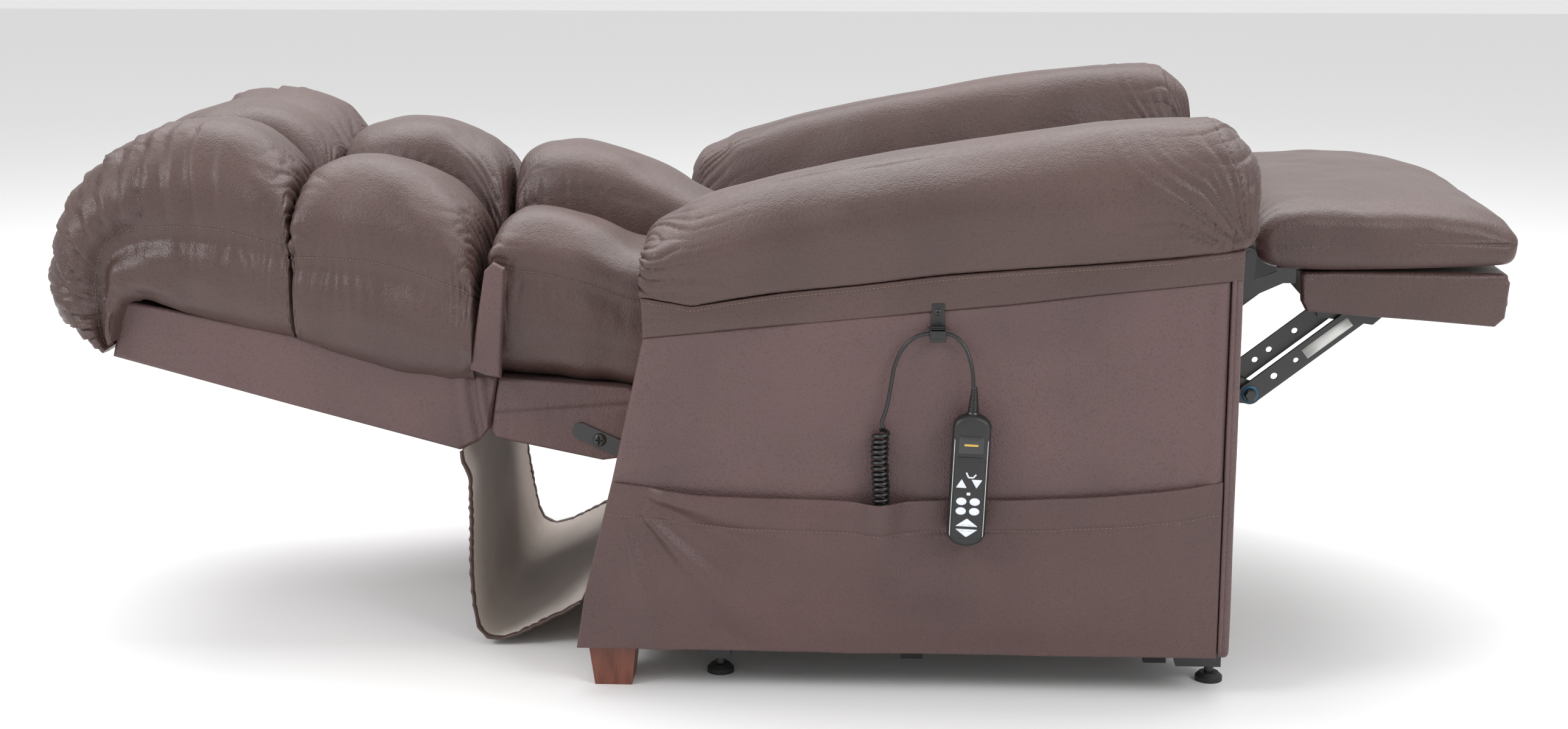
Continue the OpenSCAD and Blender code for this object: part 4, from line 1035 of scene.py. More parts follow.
# ------------------------------------------------------------------ chaise pad
def chaise_shape(P, p, nrm, y):
    X, Y, Z = P[:, :, 0].copy(), P[:, :, 1].copy(), P[:, :, 2].copy()
    a = np.abs(Y) / 0.280
    up = smooth(0.535, 0.575, Z)
    P[:, :, 2] += up * (0.009 * (1 - a**2) * (1 - ((X - 0.775) / 0.17) ** 2) + 0.0028 * noise2(X * 9, Y * 9, 831) + 0.0009 * noise2(X * 28, Y * 28, 832))
    P[:, :, 2] -= up * 0.011 * smooth(0.80, 1.0, a) * (1 - 0.35 * smooth(0.66, 0.62, X))
    # the pad's corners draw in where the seams meet
    cor = np.exp(-((X - 0.922) / 0.03) ** 2) * smooth(0.85, 1.0, a)
    P[:, :, 0] += cor * 0.004
    P[:, :, 2] -= cor * 0.002 * up
    P[:, :, 0] += smooth(0.90, 0.93, X) * 0.003 * (1 - a**2)
    seamz = np.interp(X, [0.619, 0.930], [0.538, 0.545])
    d = np.exp(-((Z - seamz) / 0.0035) ** 2) * smooth(0.97, 0.995, a)
    P[:, :, 1] -= np.sign(Y) * d * 0.0030
    sidey = smooth(0.90, 1.0, a)
    P[:, :, 1] += np.sign(Y) * sidey * (0.0014 * noise2(X * 20, Z * 30, 833))
    # gathers where the pad meets the seat
    df = X - 0.612
    P[:, :, 2] += up * 0.0030 * (fold(Y * 38 + noise2(Y * 18, X * 9, 834)) - 0.6) * np.exp(-(df / 0.03) ** 2)
    return P


ch = [(0.613, 0.540), (0.618, 0.520), (0.640, 0.510), (0.700, 0.507), (0.800, 0.509), (0.905, 0.514), (0.927, 0.520), (0.932, 0.538), (0.931, 0.556), (0.915, 0.572), (0.870, 0.584), (0.800, 0.590), (0.700, 0.591), (0.650, 0.588), (0.622, 0.574), (0.612, 0.556)]
o = pillow("chaise_pad_cover", ch, -0.281, 0.281, 0.020, M_LEATHER, ny=150, n=300, round_corners=8, shape=chaise_shape, straight=False, power=2.2)
subdivide(o)
ride(o, "chaise", ["chaise_pad"])

# ------------------------------------------------------------------ footboard
def foot_shape(P, p, nrm, y):
    X, Y, Z = P[:, :, 0].copy(), P[:, :, 1].copy(), P[:, :, 2].copy()
    a = np.abs(Y) / 0.281
    P[:, :, 1] += np.sign(Y) * smooth(0.92, 1, a) * (0.0014 * noise2(X * 16, Z * 22, 851) + 0.001 * (fold(Z * 60 + noise2(Z * 30, X * 8, 852)) - 0.6) * (np.exp(-((X - 0.676) / 0.015) ** 2) + np.exp(-((X - 0.922) / 0.015) ** 2)))
    return P


def narrow(o, k=0.948):
    co = np.empty(len(o.data.vertices) * 3)
    o.data.vertices.foreach_get("co", co)
    co = co.reshape(-1, 3)
    co[:, 1] *= k
    o.data.vertices.foreach_set("co", co.ravel())
    o.data.update()
    return o


def foot_rim(name, sgn):
    def dsp(X, Z, A, V):
        return 0.0012 * noise2(X * 14, Z * 20, 855) + 0.0015 * np.sin(np.pi * V) ** 0.6 + 0.0010 * (fold(Z * 70 + noise2(Z * 30, X * 9, 856)) - 0.6) * (np.exp(-((X - 0.674) / 0.014) ** 2) + np.exp(-((X - 0.925) / 0.016) ** 2))
    return slab(name, [(0.673, 0.466), (0.680, 0.453), (0.720, 0.450), (0.820, 0.443), (0.914, 0.4355), (0.926, 0.447)], [(0.670, 0.499), (0.676, 0.5035), (0.720, 0.5045), (0.820, 0.5045), (0.922, 0.5040), (0.930, 0.492)], 0.2808, 0.0125, 0.006, M_LEATHER, dsp, 150, 44, sgn)


fo = [(0.672, 0.503), (0.674, 0.4690), (0.926, 0.4615), (0.930, 0.482), (0.927, 0.5035)]
o = pillow("footboard_cover", fo, -0.2795, 0.2795, 0.006, M_LEATHER, ny=120, n=260, round_corners=5, shape=foot_shape)
ride(narrow(o), "footboard", ["footboard"])
for tag, sgn in (("handset_side", -1), ("far_side", 1)):
    ride(narrow(foot_rim(f"footboard_rim_{tag}", sgn)), "footboard", ["footboard"])
rim_o = [(0.911, 0.4625), (0.9085, 0.4345), (0.9165, 0.4345), (0.931, 0.462), (0.930, 0.482), (0.922, 0.482)]
ride(narrow(pillow("footboard_rim_end", rim_o, -0.2695, 0.2695, 0.004, M_LEATHER, ny=100, n=150, round_corners=3)), "footboard", ["footboard"])

# ------------------------------------------------------------------ back shell
def shell_shape(P, p, nrm, y):
    X, Y, Z = P[:, :, 0].copy(), P[:, :, 1].copy(), P[:, :, 2].copy()
    a = np.abs(Y) / 0.267
    side = smooth(0.90, 1.0, a)
    d = 0.0022 * noise2(X * 8, Z * 10, 871) + 0.0010 * noise2(X * 24, Z * 30, 872)
    # upright folds beside the break in the shell
    k = X + 0.372 + 0.12 * (Z - 0.31)
    d += 0.0026 * (fold(k * 60 + 0.8 * noise2(Z * 20, X * 5, 873)) - 0.6) * np.exp(-(k / 0.022) ** 2)
    low = (Z - np.interp(X, [-0.846, -0.396], [0.381, 0.262]))
    d += 0.0010 * (fold(X * 34 + noise2(X * 14, Z * 9, 874)) - 0.6) * np.exp(-(low / 0.02) ** 2)
    P[:, :, 1] += np.sign(Y) * side * d
    P += (nrm[None, :, [0, 0, 1]] * np.array([1, 0, 1])) * (0.0016 * noise2(X * 12, Y * 10, 875))[:, :, None] * (1 - side)[:, :, None]
    return P


sh = [(-0.846, 0.381), (-0.620, 0.3205), (-0.396, 0.2615), (-0.372, 0.274), (-0.357, 0.291), (-0.350, 0.324), (-0.345, 0.357), (-0.600, 0.404), (-0.826, 0.450), (-0.836, 0.420)]


def shell_side(name, sgn):
    """Taut cover over the side of the shell, as one face with its own drape."""
    def dsp(X, Z, A, V):
        d = 0.0022 * noise2(X * 7, Z * 9, 881) + 0.0009 * noise2(X * 22, Z * 28, 882)
        k = X + 0.368 + 0.10 * (Z - 0.31)
        d += 0.0030 * np.sin(k * 260 + 1.2 * noise2(Z * 18, X * 4, 883)) * np.exp(-(k / 0.026) ** 2)
        d += 0.0015 * (fold(X * 30 + noise2(X * 12, Z * 9, 884)) - 0.6) * np.exp(-(V / 0.12) ** 2)
        d += 0.0015 * np.exp(-((V - 0.5) / 0.3) ** 2)
        return d
    b = [(-0.846, 0.379), (-0.620, 0.3185), (-0.396, 0.2600), (-0.372, 0.272), (-0.356, 0.290)]
    t = [(-0.828, 0.453), (-0.720, 0.432), (-0.600, 0.408), (-0.470, 0.381), (-0.345, 0.3585)]
    return slab(name, b, t, 0.2665, 0.006, 0.005, M_PANEL, dsp, 230, 50, sgn)


ride(pillow("back_shell_cover", sh, -0.262, 0.262, 0.008, M_PANEL, ny=110, n=420, round_corners=3, shape=shell_shape), "backrest", ["back_shell"])
for tag, sgn in (("handset_side", -1), ("far_side", 1)):
    ride(shell_side(f"back_shell_side_{tag}", sgn), "backrest", ["back_shell"])
lo = [(-0.3565, 0.2895), (-0.350, 0.277), (-0.280, 0.263), (-0.211, 0.249), (-0.180, 0.2535), (-0.150, 0.330), (-0.176, 0.3445), (-0.260, 0.350), (-0.343, 0.3555)]
def low_shape(P, p, nrm, y):
    X, Y, Z = P[:, :, 0].copy(), P[:, :, 1].copy(), P[:, :, 2].copy()
    side = smooth(0.88, 1.0, np.abs(Y) / 0.2635)
    P[:, :, 1] += np.sign(Y) * side * 0.0012 * noise2(X * 14, Z * 16, 891)
    return P
ride(pillow("back_lower_shell_cover", lo, -0.2635, 0.2635, 0.007, M_PANEL, ny=100, n=260, round_corners=3, shape=low_shape), "backrest", ["back_shell"])


def lower_side(name, sgn):
    def dsp(X, Z, A, V):
        d = 0.0016 * noise2(X * 12, Z * 14, 893) + 0.0008 * noise2(X * 30, Z * 30, 894)
        d += 0.0022 * np.exp(-((Z - 0.325 - 0.08 * (X + 0.25)) / 0.006) ** 2) - 0.0018 * np.exp(-((Z - 0.316 - 0.08 * (X + 0.25)) / 0.004) ** 2)
        d += 0.0016 * (fold(X * 50 + noise2(X * 20, Z * 8, 895)) - 0.6) * np.exp(-((X + 0.35) / 0.02) ** 2)
        return d
    b = [(-0.3560, 0.2880), (-0.350, 0.2765), (-0.280, 0.2625), (-0.211, 0.2485), (-0.181, 0.2530)]
    t = [(-0.3440, 0.3570), (-0.300, 0.3540), (-0.240, 0.3500), (-0.176, 0.3450), (-0.152, 0.331)]
    return slab(name, b, t, 0.2648, 0.004, 0.004, M_PANEL, dsp, 120, 50, sgn)


for tag, sgn in (("handset_side", -1), ("far_side", 1)):
    ride(lower_side(f"back_lower_side_{tag}", sgn), "backrest", ["back_shell"])
    # flat tab of the cover between two cushions
    def tabd(X, Z, A, V):
        return 0.0012 * noise2(X * 30, Z * 14, 897)
    tb = [(-0.3765, 0.372), (-0.355, 0.364), (-0.3365, 0.361)]
    tt = [(-0.3545, 0.500), (-0.343, 0.5105), (-0.3285, 0.503)]
    ride(slab(f"cushion_tab_{tag}", tb, tt, 0.2900, 0.010, 0.0045, M_PANEL, tabd, 26, 90, sgn), "backrest")

# ------------------------------------------------------------------ hanging fabric panel behind the back
DR = curve([(-0.392, 0.262), (-0.394, 0.200), (-0.391, 0.130), (-0.386, 0.062), (-0.378, 0.024), (-0.362, 0.009), (-0.338, 0.010), (-0.310, 0.022), (-0.276, 0.041), (-0.240, 0.062)], 220)


def drape():
    n, m = len(DR), 150
    w = np.linspace(-1, 1, m)
    e = np.sign(w) * (1 - (1 - np.abs(w)) ** 1.25)
    d = np.gradient(DR, axis=0)
    d /= np.linalg.norm(d, axis=1)[:, None]
    nr = np.stack([-d[:, 1], d[:, 0]], 1)
    s = np.r_[0, np.cumsum(np.linalg.norm(np.diff(DR, axis=0), axis=1))]
    S = s[:, None] + 0 * e[None]
    Y = 0.279 * e[None] + 0 * S
    hold = smooth(0, 0.04, S) * smooth(0, 0.05, s[-1] - S)
    low = np.exp(-((S - 0.255) / 0.10) ** 2)
    # slack waves, smaller where the chain nears the floor
    off = 0.0085 * noise2(S * 4.2, Y * 5.5, 901) * hold * (1 - 0.75 * low)
    off += 0.0028 * noise2(S * 13, Y * 12, 902) * hold * (1 - 0.6 * low)
    off += 0.0050 * np.sin(Y * 17 + 5 * S) * hold * (1 - 0.8 * low)
    off += 0.0016 * (fold(S * 55 + 1.2 * noise2(S * 20, Y * 6, 903)) - 0.6) * np.exp(-((1 - np.abs(e))[None] * 0.28 / 0.02) ** 2)
    pull = 1 - 0.030 * hold * (0.6 + 0.4 * noise2(S * 7, 0.2 + 0 * S, 904)) * smooth(0.2, 1, np.abs(e))[None]
    X = DR[:, 0][:, None] + nr[:, 0][:, None] * off
    Z = DR[:, 1][:, None] + nr[:, 1][:, None] * off
    Z = np.maximum(Z, 0.0035)
    Yp = Y * pull
    inner = np.stack([X + nr[:, 0][:, None] * 0.0010, Yp, Z + nr[:, 1][:, None] * 0.0010], -1)
    outer = np.stack([X - nr[:, 0][:, None] * 0.0010, Yp, Z - nr[:, 1][:, None] * 0.0010], -1)
    V = np.vstack([inner.reshape(-1, 3), outer.reshape(-1, 3)])
    f = grid_faces(n, m)
    g = [tuple(reversed([a + n * m for a in q])) for q in f]
    idx = np.arange(n * m).reshape(n, m)
    ring = np.r_[idx[0, :], idx[1:, -1], idx[-1, -2::-1], idx[-2:0:-1, 0]]
    rim = [(ring[i], ring[(i + 1) % len(ring)], ring[(i + 1) % len(ring)] + n * m, ring[i] + n * m) for i in range(len(ring))]
    mi = [0] * len(f) + [1] * len(g) + [1] * len(rim)
    o = outward(put("back_drape_cloth", V, f + g + rim, [M_LINING, M_DUST], mat_index=mi))
    edges = [np.stack([X[:, j], Yp[:, j], Z[:, j]], 1) for j in (0, -1)]
    return o, edges


cloth, edges = drape()
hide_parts("back_drape")
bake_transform(cloth)
for k, e in enumerate(edges):
    p = e.copy()
    p[:, 2] = np.maximum(p[:, 2], 0.0045)
    t = np.gradient(p, axis=0)
    t /= np.linalg.norm(t, axis=1)[:, None]
    u = np.tile([0.0, 1.0, 0.0], (len(p), 1))
    w = np.cross(t, u)
    th = np.linspace(0, 2 * np.pi, 12, endpoint=False)
    wob = 1 + 0.25 * noise2(np.arange(len(p)) * 0.21, 0.5, 910 + k)[:, None, None]
    P = p[:, None] + 0.0060 * wob * np.cos(th)[None, :, None] * u[:, None] + 0.0026 * wob * np.sin(th)[None, :, None] * w[:, None]
    P[:, :, 2] = np.maximum(P[:, :, 2], 0.0012)
    h = loft(f"drape_hem_{'handset_side' if k == 0 else 'far_side'}", P, M_LEATHER)
    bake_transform(h)

# ------------------------------------------------------------------ cord
mm = lambda *p: tuple(c / 1000 for c in p)
low = [mm(*p) for p in [(149.5, -442.6, 205), (149.5, -446, 205), (149.5, -450, 206), (149.5, -453.5, 209), (149.5, -455, 213)]]
ax, ay = 0.1495, -0.455
turns, rad, z0, z1 = 17.5, 0.0088, 0.222, 0.339
hel = []
N_H = int(turns * 24)
for i in range(N_H + 1):
    k = i / N_H
    a = 2 * math.pi * turns * k - math.pi / 2
    # the turns crowd and spread a little, and lean with the weight
    z = z0 + (z1 - z0) * (k + 0.006 * math.sin(2 * math.pi * 3 * k) )
    r = rad * (1 + 0.035 * math.sin(2 * math.pi * 5.3 * k))
    hel.append((ax + r * math.cos(a) + 0.0012 * math.sin(math.pi * k * 2.0), ay + r * math.sin(a) * 0.98, z))
up = [mm(*p) for p in [(150.4, -455, 349), (152.5, -455, 357), (155.5, -455, 366), (158, -455, 378), (160.5, -454.5, 392), (162.5, -454, 406), (165.5, -453.5, 420), (170, -453, 432), (176.5, -453, 443), (185, -453, 451.5), (195, -453, 457), (206, -453, 459), (216.5, -453, 459), (226, -453, 459), (235, -453.5, 456.5), (243, -455, 450.5), (249.5, -457, 442), (254, -459.5, 431), (257, -462, 419), (258.5, -464, 407), (259, -465, 396), (259.2, -465, 388)]]
start_h = hel[0]
lead = [(ax, ay + 0.0, 0.2150), (ax + 0.001, ay - 0.005, 0.2185)]
pts = low + lead + hel + [(ax + 0.0045 * 0.6, ay, 0.3435)] + up
pts = curve(pts, 900)
# spacing by length keeps every turn round
CORD_LEN = float(np.linalg.norm(np.diff(pts, axis=0), axis=1).sum())
n_c = int(CORD_LEN / 0.0016)
s_ = np.r_[0, np.cumsum(np.linalg.norm(np.diff(curve(low + lead + hel + [(ax + 0.0027, ay, 0.3435)] + up, 6000), axis=0), axis=1))]
dense = curve(low + lead + hel + [(ax + 0.0027, ay, 0.3435)] + up, 6000)
CORD_LEN = float(s_[-1])
pts = np.stack([np.interp(np.linspace(0, CORD_LEN, n_c), s_, dense[:, k]) for k in range(3)], 1)
CORD_D = 0.0046
# a round tube about the path, carried without twist
t = np.gradient(pts, axis=0)
t /= np.linalg.norm(t, axis=1)[:, None]
u = np.zeros_like(pts)
u[0] = np.cross(t[0], [0, 0, 1])
u[0] /= np.linalg.norm(u[0])
for i in range(1, len(pts)):
    v = u[i - 1] - t[i] * np.dot(u[i - 1], t[i])
    u[i] = v / np.linalg.norm(v)
w = np.cross(t, u)
th = np.linspace(0, 2 * np.pi, 12, endpoint=False)
P = pts[:, None] + CORD_D / 2 * (np.cos(th)[None, :, None] * u[:, None] + np.sin(th)[None, :, None] * w[:, None])
cord = loft("handset_cord", P, M_CORD)
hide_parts("cord_tube", "cord_coil", "cord_drop")
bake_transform(cord)

# ------------------------------------------------------------------ handset
TILT = math.radians(2.5)
HC = Vector((0.259, -0.465, 0.366))
HM = Matrix.Translation(HC) @ Matrix.Rotation(TILT, 4, "Y")


def on_handset(verts):
    return [tuple(HM @ Vector(v)) for v in verts]


def hs_loop(g, n=120):
    w = 0.024 - g
    a = np.linspace(0, 1, n, endpoint=False)
    pts = []
    for k in range(40):
        q = math.pi * k / 39
        pts.append((w * math.cos(q), -0.016 - g / 3 + 0.66 * w * math.sin(q)))
    for k in range(40):
        q = math.pi + math.pi * k / 39
        pts.append((w * math.cos(q), -0.147 + g / 3 + 0.72 * w * math.sin(q)))
    return polyline(pts, n, True)


def handset_body():
    # layers from the back to the face; a waist band sits between the two shells
    rows = [(0.0120, 0.0085), (0.0124, 0.0050), (0.0116, 0.0028), (0.0098, 0.0012), (0.006, 0.0003), (0.0012, 0.0), (0.0006, 0.0008), (0.0, 0.0008), (-0.0006, 0.0), (-0.0055, 0.0002),
            (-0.0085, 0.0012), (-0.0104, 0.0028), (-0.0113, 0.0046), (-0.0115, 0.0072)]
    P = []
    for y, g in rows:
        L = hs_loop(g + 0.001, 140)
        P.append([(x, y, z) for x, z in L])
    P = np.array(P)
    o = loft("handset_body", np.array([on_handset(r) for r in P]), M_PLASTIC)
    return o


hb = handset_body()
ride(hb, "handset", ["handset_shell"])


def hs_plate(name, outline, y0, y1, r, mat, n=96, repl=()):
    """A small raised plate on the handset's face; outline in the handset's own x and z, y0 its foot and y1 its face."""
    p = polyline(outline, n, True)
    nr = normals_2d(p)
    rows = []
    for y, g in ((y0, 0.0), (y1 + r, 0.0), (y1 + 0.6 * r, 0.08 * r), (y1 + 0.25 * r, 0.34 * r), (y1 + 0.05 * r, 0.72 * r), (y1, r)):
        q = p - nr * g
        rows.append([(x, y, z) for x, z in q])
    rows.append([(x * 0.5 + np.mean(p[:, 0]) * 0.5, y1 - 0.0001, z * 0.5 + np.mean(p[:, 1]) * 0.5) for x, z in p - nr * r])
    o = loft(name, np.array([on_handset(r_) for r_ in rows]), mat)
    ride(o, "handset", repl)
    return o


def rrect(x0, z0, x1, z1, r, k=8):
    out = []
    for cx, cz, a0 in ((x1 - r, z1 - r, 0), (x0 + r, z1 - r, 90), (x0 + r, z0 + r, 180), (x1 - r, z0 + r, 270)):
        for i in range(k + 1):
            a = math.radians(a0 + 90 * i / k)
            out.append((cx + r * math.cos(a), cz + r * math.sin(a)))
    return out


hs_plate("handset_keypad_plate", rrect(-0.0178, -0.1525, 0.0178, -0.052, 0.006), -0.0105, -0.0127, 0.0009, M_PLASTIC, 160, repl=["handset_keypad"])
hs_plate("handset_window", rrect(-0.0150, -0.0480, 0.0150, -0.0260, 0.0022), -0.0105, -0.0121, 0.0006, M_GLOSS, 96)
# plain amber mark in the window, with no words
hs_plate("handset_window_mark", rrect(-0.0085, -0.0385, 0.0085, -0.0360, 0.0011), -0.0118, -0.01235, 0.0002, M_MARK, 48)
for k, sx in enumerate((-1, 1)):
    a = [(sx * 0.0193, -0.150), (sx * 0.0203, -0.150), (sx * 0.0203, -0.030), (sx * 0.0193, -0.030)]
    hs_plate(f"handset_side_line_{k + 1}", a, -0.0096, -0.01165, 0.0002, M_SILVER, 80)
# status light
hs_plate("handset_light", rrect(-0.0022, -0.0985, 0.0022, -0.0950, 0.0005), -0.012, -0.0131, 0.0003, M_KEY, 40)
# fixed pictogram of a reclining chair between the two arrow keys: seat, back and leg rest bars
for k, (ax_, az_, bx_, bz_) in enumerate(((-0.0040, -0.0705, -0.0010, -0.0765), (-0.0010, -0.0765, 0.0046, -0.0765), (0.0046, -0.0765, 0.0078, -0.0725))):
    dx, dz = bx_ - ax_, bz_ - az_
    L_ = math.hypot(dx, dz)
    nx, nz = -dz / L_ * 0.0009, dx / L_ * 0.0009
    hs_plate(f"handset_icon_{k + 1}", [(ax_ + nx, az_ + nz), (ax_ - nx, az_ - nz), (bx_ - nx, bz_ - nz), (bx_ + nx, bz_ + nz)], -0.012, -0.0131, 0.0002, M_KEY, 32)


def key_piece(node, outline, r_corner, cap=0.0008):
    p = relax(polyline(outline, 90, True), r_corner)
    nr = normals_2d(p)
    rows = []
    for y, g in ((-0.0116, 0.0), (-0.0136, 0.0), (-0.0140, 0.0002), (-0.0143, 0.0005), (-0.01442, 0.0009)):
        rows.append([(x, y, z) for x, z in p - nr * g])
    rows.append([(x * 0.5 + np.mean(p[:, 0]) * 0.5, -0.01448, z * 0.5 + np.mean(p[:, 1]) * 0.5) for x, z in p - nr * 0.0009])
    o = loft(f"{node}_cap", np.array([on_handset(r_) for r_ in rows]), M_KEY)
    ride(o, node, [node])
    return o


key_piece("arrow_up_key", [(-0.0155, -0.0893), (-0.0025, -0.0893), (-0.009, -0.0785)], 6)
key_piece("arrow_down_key", [(0.0025, -0.0787), (0.0155, -0.0787), (0.009, -0.0895)], 6)
for i_, (kx, kz) in enumerate(((-8, -106), (8, -106), (-8, -118), (8, -118))):
    key_piece(f"memory_key_{i_ + 1}", [((kx + 6.2 * math.cos(a)) / 1000, (kz + 4.6 * math.sin(a)) / 1000) for a in np.linspace(0, 2 * math.pi, 48, endpoint=False)], 1)
key_piece("rise_key", [(-0.0135, -0.1368), (0.0135, -0.1368), (0.0, -0.1268)], 5)
key_piece("recline_key", [(-0.0135, -0.1402), (0.0135, -0.1402), (0.0, -0.1502)], 5)

# strain relief with its cut ribs
P = []
z = -0.002
prof = []
for k in range(13):
    zz = 0.0005 + k * 0.00235
    rr = 0.0068 - (0.0068 - 0.0038) * k / 12
    prof += [(zz, rr), (zz + 0.0013, rr), (zz + 0.0014, rr - 0.0011), (zz + 0.0022, rr - 0.0011)]
th = np.linspace(0, 2 * np.pi, 28, endpoint=False)
for zz, rr in [(-0.003, 0.0075), (-0.0002, 0.0075)] + prof + [(0.0315, 0.0030)]:
    P.append([(rr * math.cos(a), 0.0 + rr * math.sin(a), zz) for a in th])
sr = loft("handset_strain_relief", np.array([on_handset(r_) for r_ in P]), M_CORD)
ride(sr, "handset")

# clip on the side panel: strap with screw, and the hook that holds the cord
def bx(name, lo_, hi_, r, mat, body, slot_name, repl=(), n=40):
    """A box with rounded rims, extruded along Y."""
    x0, y0, z0 = lo_
    x1, y1, z1 = hi_
    p = rrect(x0, z0, x1, z1, min(r, (x1 - x0) * 0.45, (z1 - z0) * 0.45))
    o = pillow(name, p, y0, y1, min(r, (y1 - y0) * 0.45), mat, ny=14, n=96, round_corners=0)
    ride(o, body, repl)
    return o


bx("clip_strap", (0.2085, -0.4438, 0.4600), (0.2240, -0.4406, 0.4935), 0.0009, M_PLASTIC, "chair_body", "plastic_black", ["handset_clip"])
bx("clip_shoulder", (0.2070, -0.4520, 0.4628), (0.2255, -0.4412, 0.4668), 0.0010, M_PLASTIC, "chair_body", "plastic_black")
bx("clip_tab", (0.2030, -0.4500, 0.4650), (0.2080, -0.4470, 0.4665), 0.0006, M_PLASTIC, "chair_body", "plastic_black")
# hook: a C profile that the cord lies in
hk_o = [(x, z) for x, z in [(-0.4412, 0.4665), (-0.4412, 0.4495), (-0.4572, 0.4495), (-0.4588, 0.4515), (-0.4588, 0.4640), (-0.4568, 0.4660), (-0.4500, 0.4662)]]
for nm, (ya, za, yb, zb) in {"clip_hook_floor": (-0.4590, 0.4495, -0.4412, 0.4558), "clip_hook_lip": (-0.4592, 0.4545, -0.4565, 0.4655), "clip_hook_back": (-0.4460, 0.4545, -0.4412, 0.4655), "clip_hook_roof": (-0.4592, 0.4622, -0.4412, 0.4655)}.items():
    bx(nm, (0.2066, ya, za), (0.2258, yb, zb), 0.0009, M_PLASTIC, "chair_body", "plastic_black")


def screw_head(name, c, axis, r, hgt, mat, body, repl=(), cross=True):
    """Domed head with a cross recess; axis is the outward direction."""
    a = Vector(axis).normalized()
    q = a.to_track_quat("Z", "Y").to_matrix().to_4x4()
    M = Matrix.Translation(Vector(c)) @ q
    n = 64
    rows = []
    for rr, z in ((1.0, 0.0), (1.0, 0.25), (0.97, 0.45), (0.88, 0.7), (0.72, 0.88), (0.5, 0.97), (0.32, 1.0), (0.16, 1.0), (0.05, 1.0)):
        row = []
        for k in range(n):
            th_ = 2 * math.pi * k / n
            x, y = rr * math.cos(th_), rr * math.sin(th_)
            zz = z
            if cross:
                arm = min(abs(x), abs(y))
                rec = max(0.0, 1 - (arm / 0.11) ** 4) * (1 if max(abs(x), abs(y)) < 0.62 else 0)
                zz = z - 0.55 * rec
            row.append(tuple(M @ Vector((x * r, y * r, zz * hgt))))
        rows.append(row)
    o = loft(name, np.array(rows), mat)
    ride(o, body, repl)
    return o


screw_head("clip_screw_head", (0.2162, -0.4437, 0.483), (0, -1, 0), 0.0042, 0.0022, M_STEEL, "chair_body", ["clip_screw"])
# grommet where the cord leaves the panel
P = []
for rr, y in ((0.0026, -0.4402), (0.0080, -0.4402), (0.0082, -0.4412), (0.0076, -0.4424), (0.0050, -0.4430), (0.0031, -0.4430), (0.0026, -0.4424)):
    P.append([(ax + rr * math.cos(a), y, 0.205 + rr * math.sin(a)) for a in np.linspace(0, 2 * np.pi, 40, endpoint=False)])
P = np.array(P)
faces = grid_faces(len(P), 40, wrap_u=True, wrap_v=True)
g = outward(put("cord_grommet_ring", P.reshape(-1, 3), faces, M_RUBBER))
ride(g, "chair_body", ["cord_grommet"])

# ------------------------------------------------------------------ bolts and washers on the levers
for tag, sgn in (("handset_side", -1), ("far_side", 1)):
    screw_head(f"bracket_bolt_{tag}", (-0.214, sgn * 0.2685, 0.277), (0, sgn, 0), 0.0085, 0.0045, M_STEEL, "backrest", ["bracket_bolts"])
    # hex nut and blue washer on the footrest pivot
    c = Vector((0.618, sgn * 0.2415, 0.340))
    rows = []
    for y, rr in ((0.0, 0.0078), (0.0045, 0.0078), (0.0055, 0.0066)):
        rows.append([(c.x + rr * math.cos(a), c.y + sgn * y, c.z + rr * math.sin(a)) for a in np.linspace(0, 2 * np.pi, 6, endpoint=False)])
    o = loft(f"footrest_nut_{tag}", np.array(rows), M_STEEL)
    o.data.polygons.foreach_set("use_smooth", [False] * len(o.data.polygons))
    ride(o, "foot_crank")
    P = []
    for rr, y in ((0.0060, 0.2362), (0.0108, 0.2362), (0.0110, 0.2368), (0.0108, 0.2374), (0.0060, 0.2374)):
        P.append([(0.618 + rr * math.cos(a), sgn * y, 0.340 + rr * math.sin(a)) for a in np.linspace(0, 2 * np.pi, 48, endpoint=False)])
    P = np.array(P)
    o = outward(put(f"footrest_washer_{tag}", P.reshape(-1, 3), grid_faces(len(P), 48, wrap_u=True, wrap_v=True), M_BLUE))
    ride(o, "foot_crank")
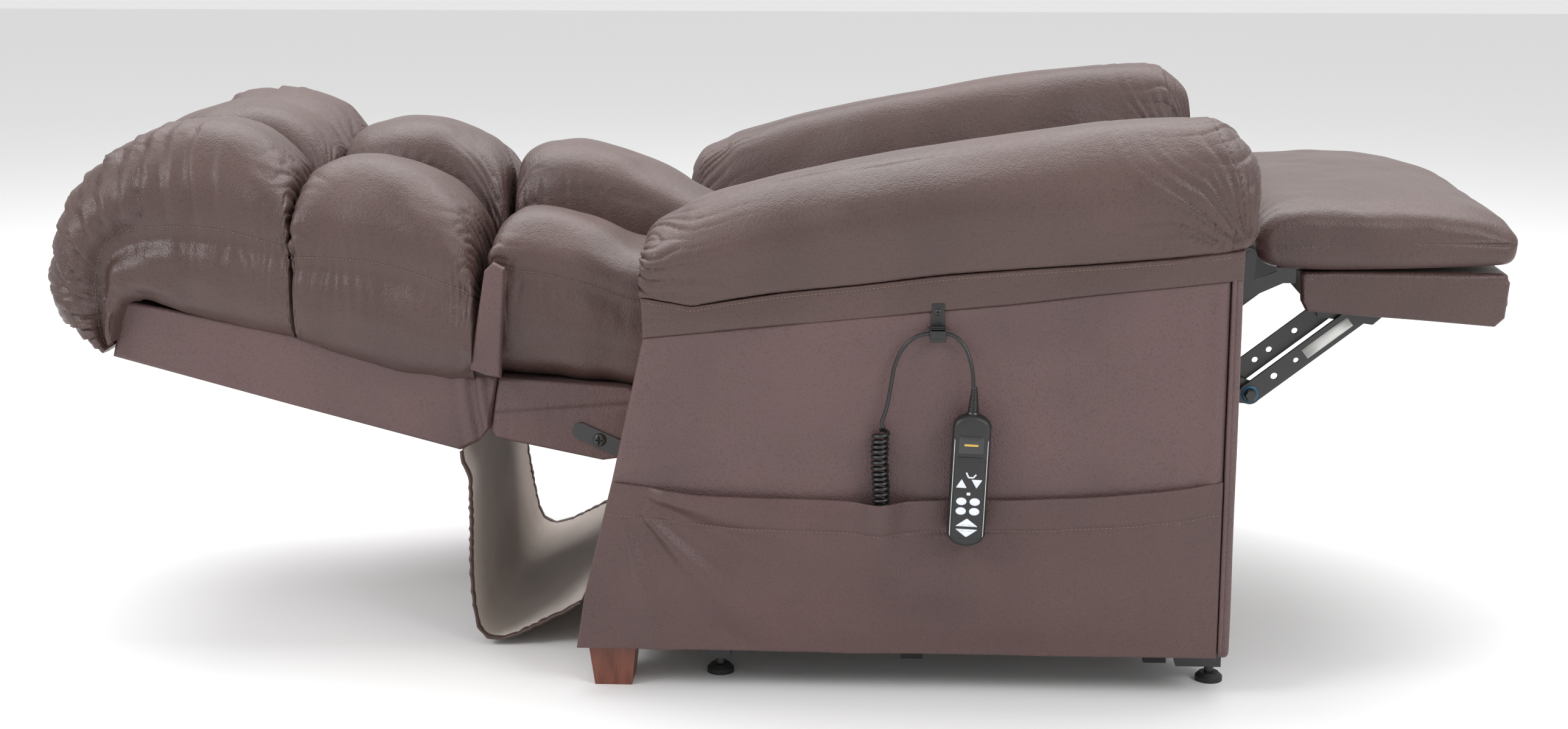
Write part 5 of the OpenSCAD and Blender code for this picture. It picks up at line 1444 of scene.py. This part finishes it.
# blank white label on the lower footrest bar of the handset side
d = Vector((math.cos(math.radians(38.3)), 0, math.sin(math.radians(38.3))))
nrm_ = Vector((-d.z, 0, d.x))
c0 = Vector((0.618, -0.2363, 0.340)) + d * 0.085
lab = [c0 - nrm_ * 0.0068, c0 - nrm_ * 0.0068 + d * 0.070, c0 + nrm_ * 0.0068 + d * 0.070, c0 + nrm_ * 0.0068]
rows = [[tuple(v) for v in lab], [tuple(v + Vector((0, -0.0004, 0))) for v in lab]]
o = loft("link_label_blank", np.array([[np.array(a) + (np.array(b) - np.array(a)) * k for a, b in zip(r_, r_[1:] + r_[:1]) for k in (0, 0.25, 0.5, 0.75)] for r_ in rows]), M_LABEL)
ride(o, "foot_lower")

# ------------------------------------------------------------------ floor, background and light
fl = put("studio_floor", [(-16, -7, 0), (16, -7, 0), (16, 12, 0), (-16, 12, 0)], [(0, 1, 2, 3)], M_FLOOR)
world = bpy.data.worlds.new("studio")
SC.world = world
world.use_nodes = True
bg = next(n for n in world.node_tree.nodes if n.type == "BACKGROUND")
bg.inputs["Color"].default_value = (1, 1, 1, 1)
bg.inputs["Strength"].default_value = 0.8


def area(name, loc, target, size, size_y, power, col=(1, 1, 1)):
    l = bpy.data.lights.new(name, "AREA")
    l.shape = "RECTANGLE"
    l.size, l.size_y, l.energy, l.color = size, size_y, power, col
    o = bpy.data.objects.new(name, l)
    SC.collection.objects.link(o)
    o.location = loc
    o.rotation_euler = (Vector(target) - Vector(loc)).to_track_quat("-Z", "Y").to_euler()
    return o


area("top_soft", (0.0, 1.0, 3.0), (0, 0.2, 0), 4.5, 2.8, 130)
area("key_left", (-2.4, -2.0, 2.3), (-0.4, 0, 0.45), 1.3, 0.9, 42)
area("key_right", (2.2, -2.4, 2.0), (0.3, 0, 0.4), 1.4, 1.0, 36)
SC.cycles.max_bounces = 4
SC.cycles.diffuse_bounces = 2
SC.cycles.glossy_bounces = 2
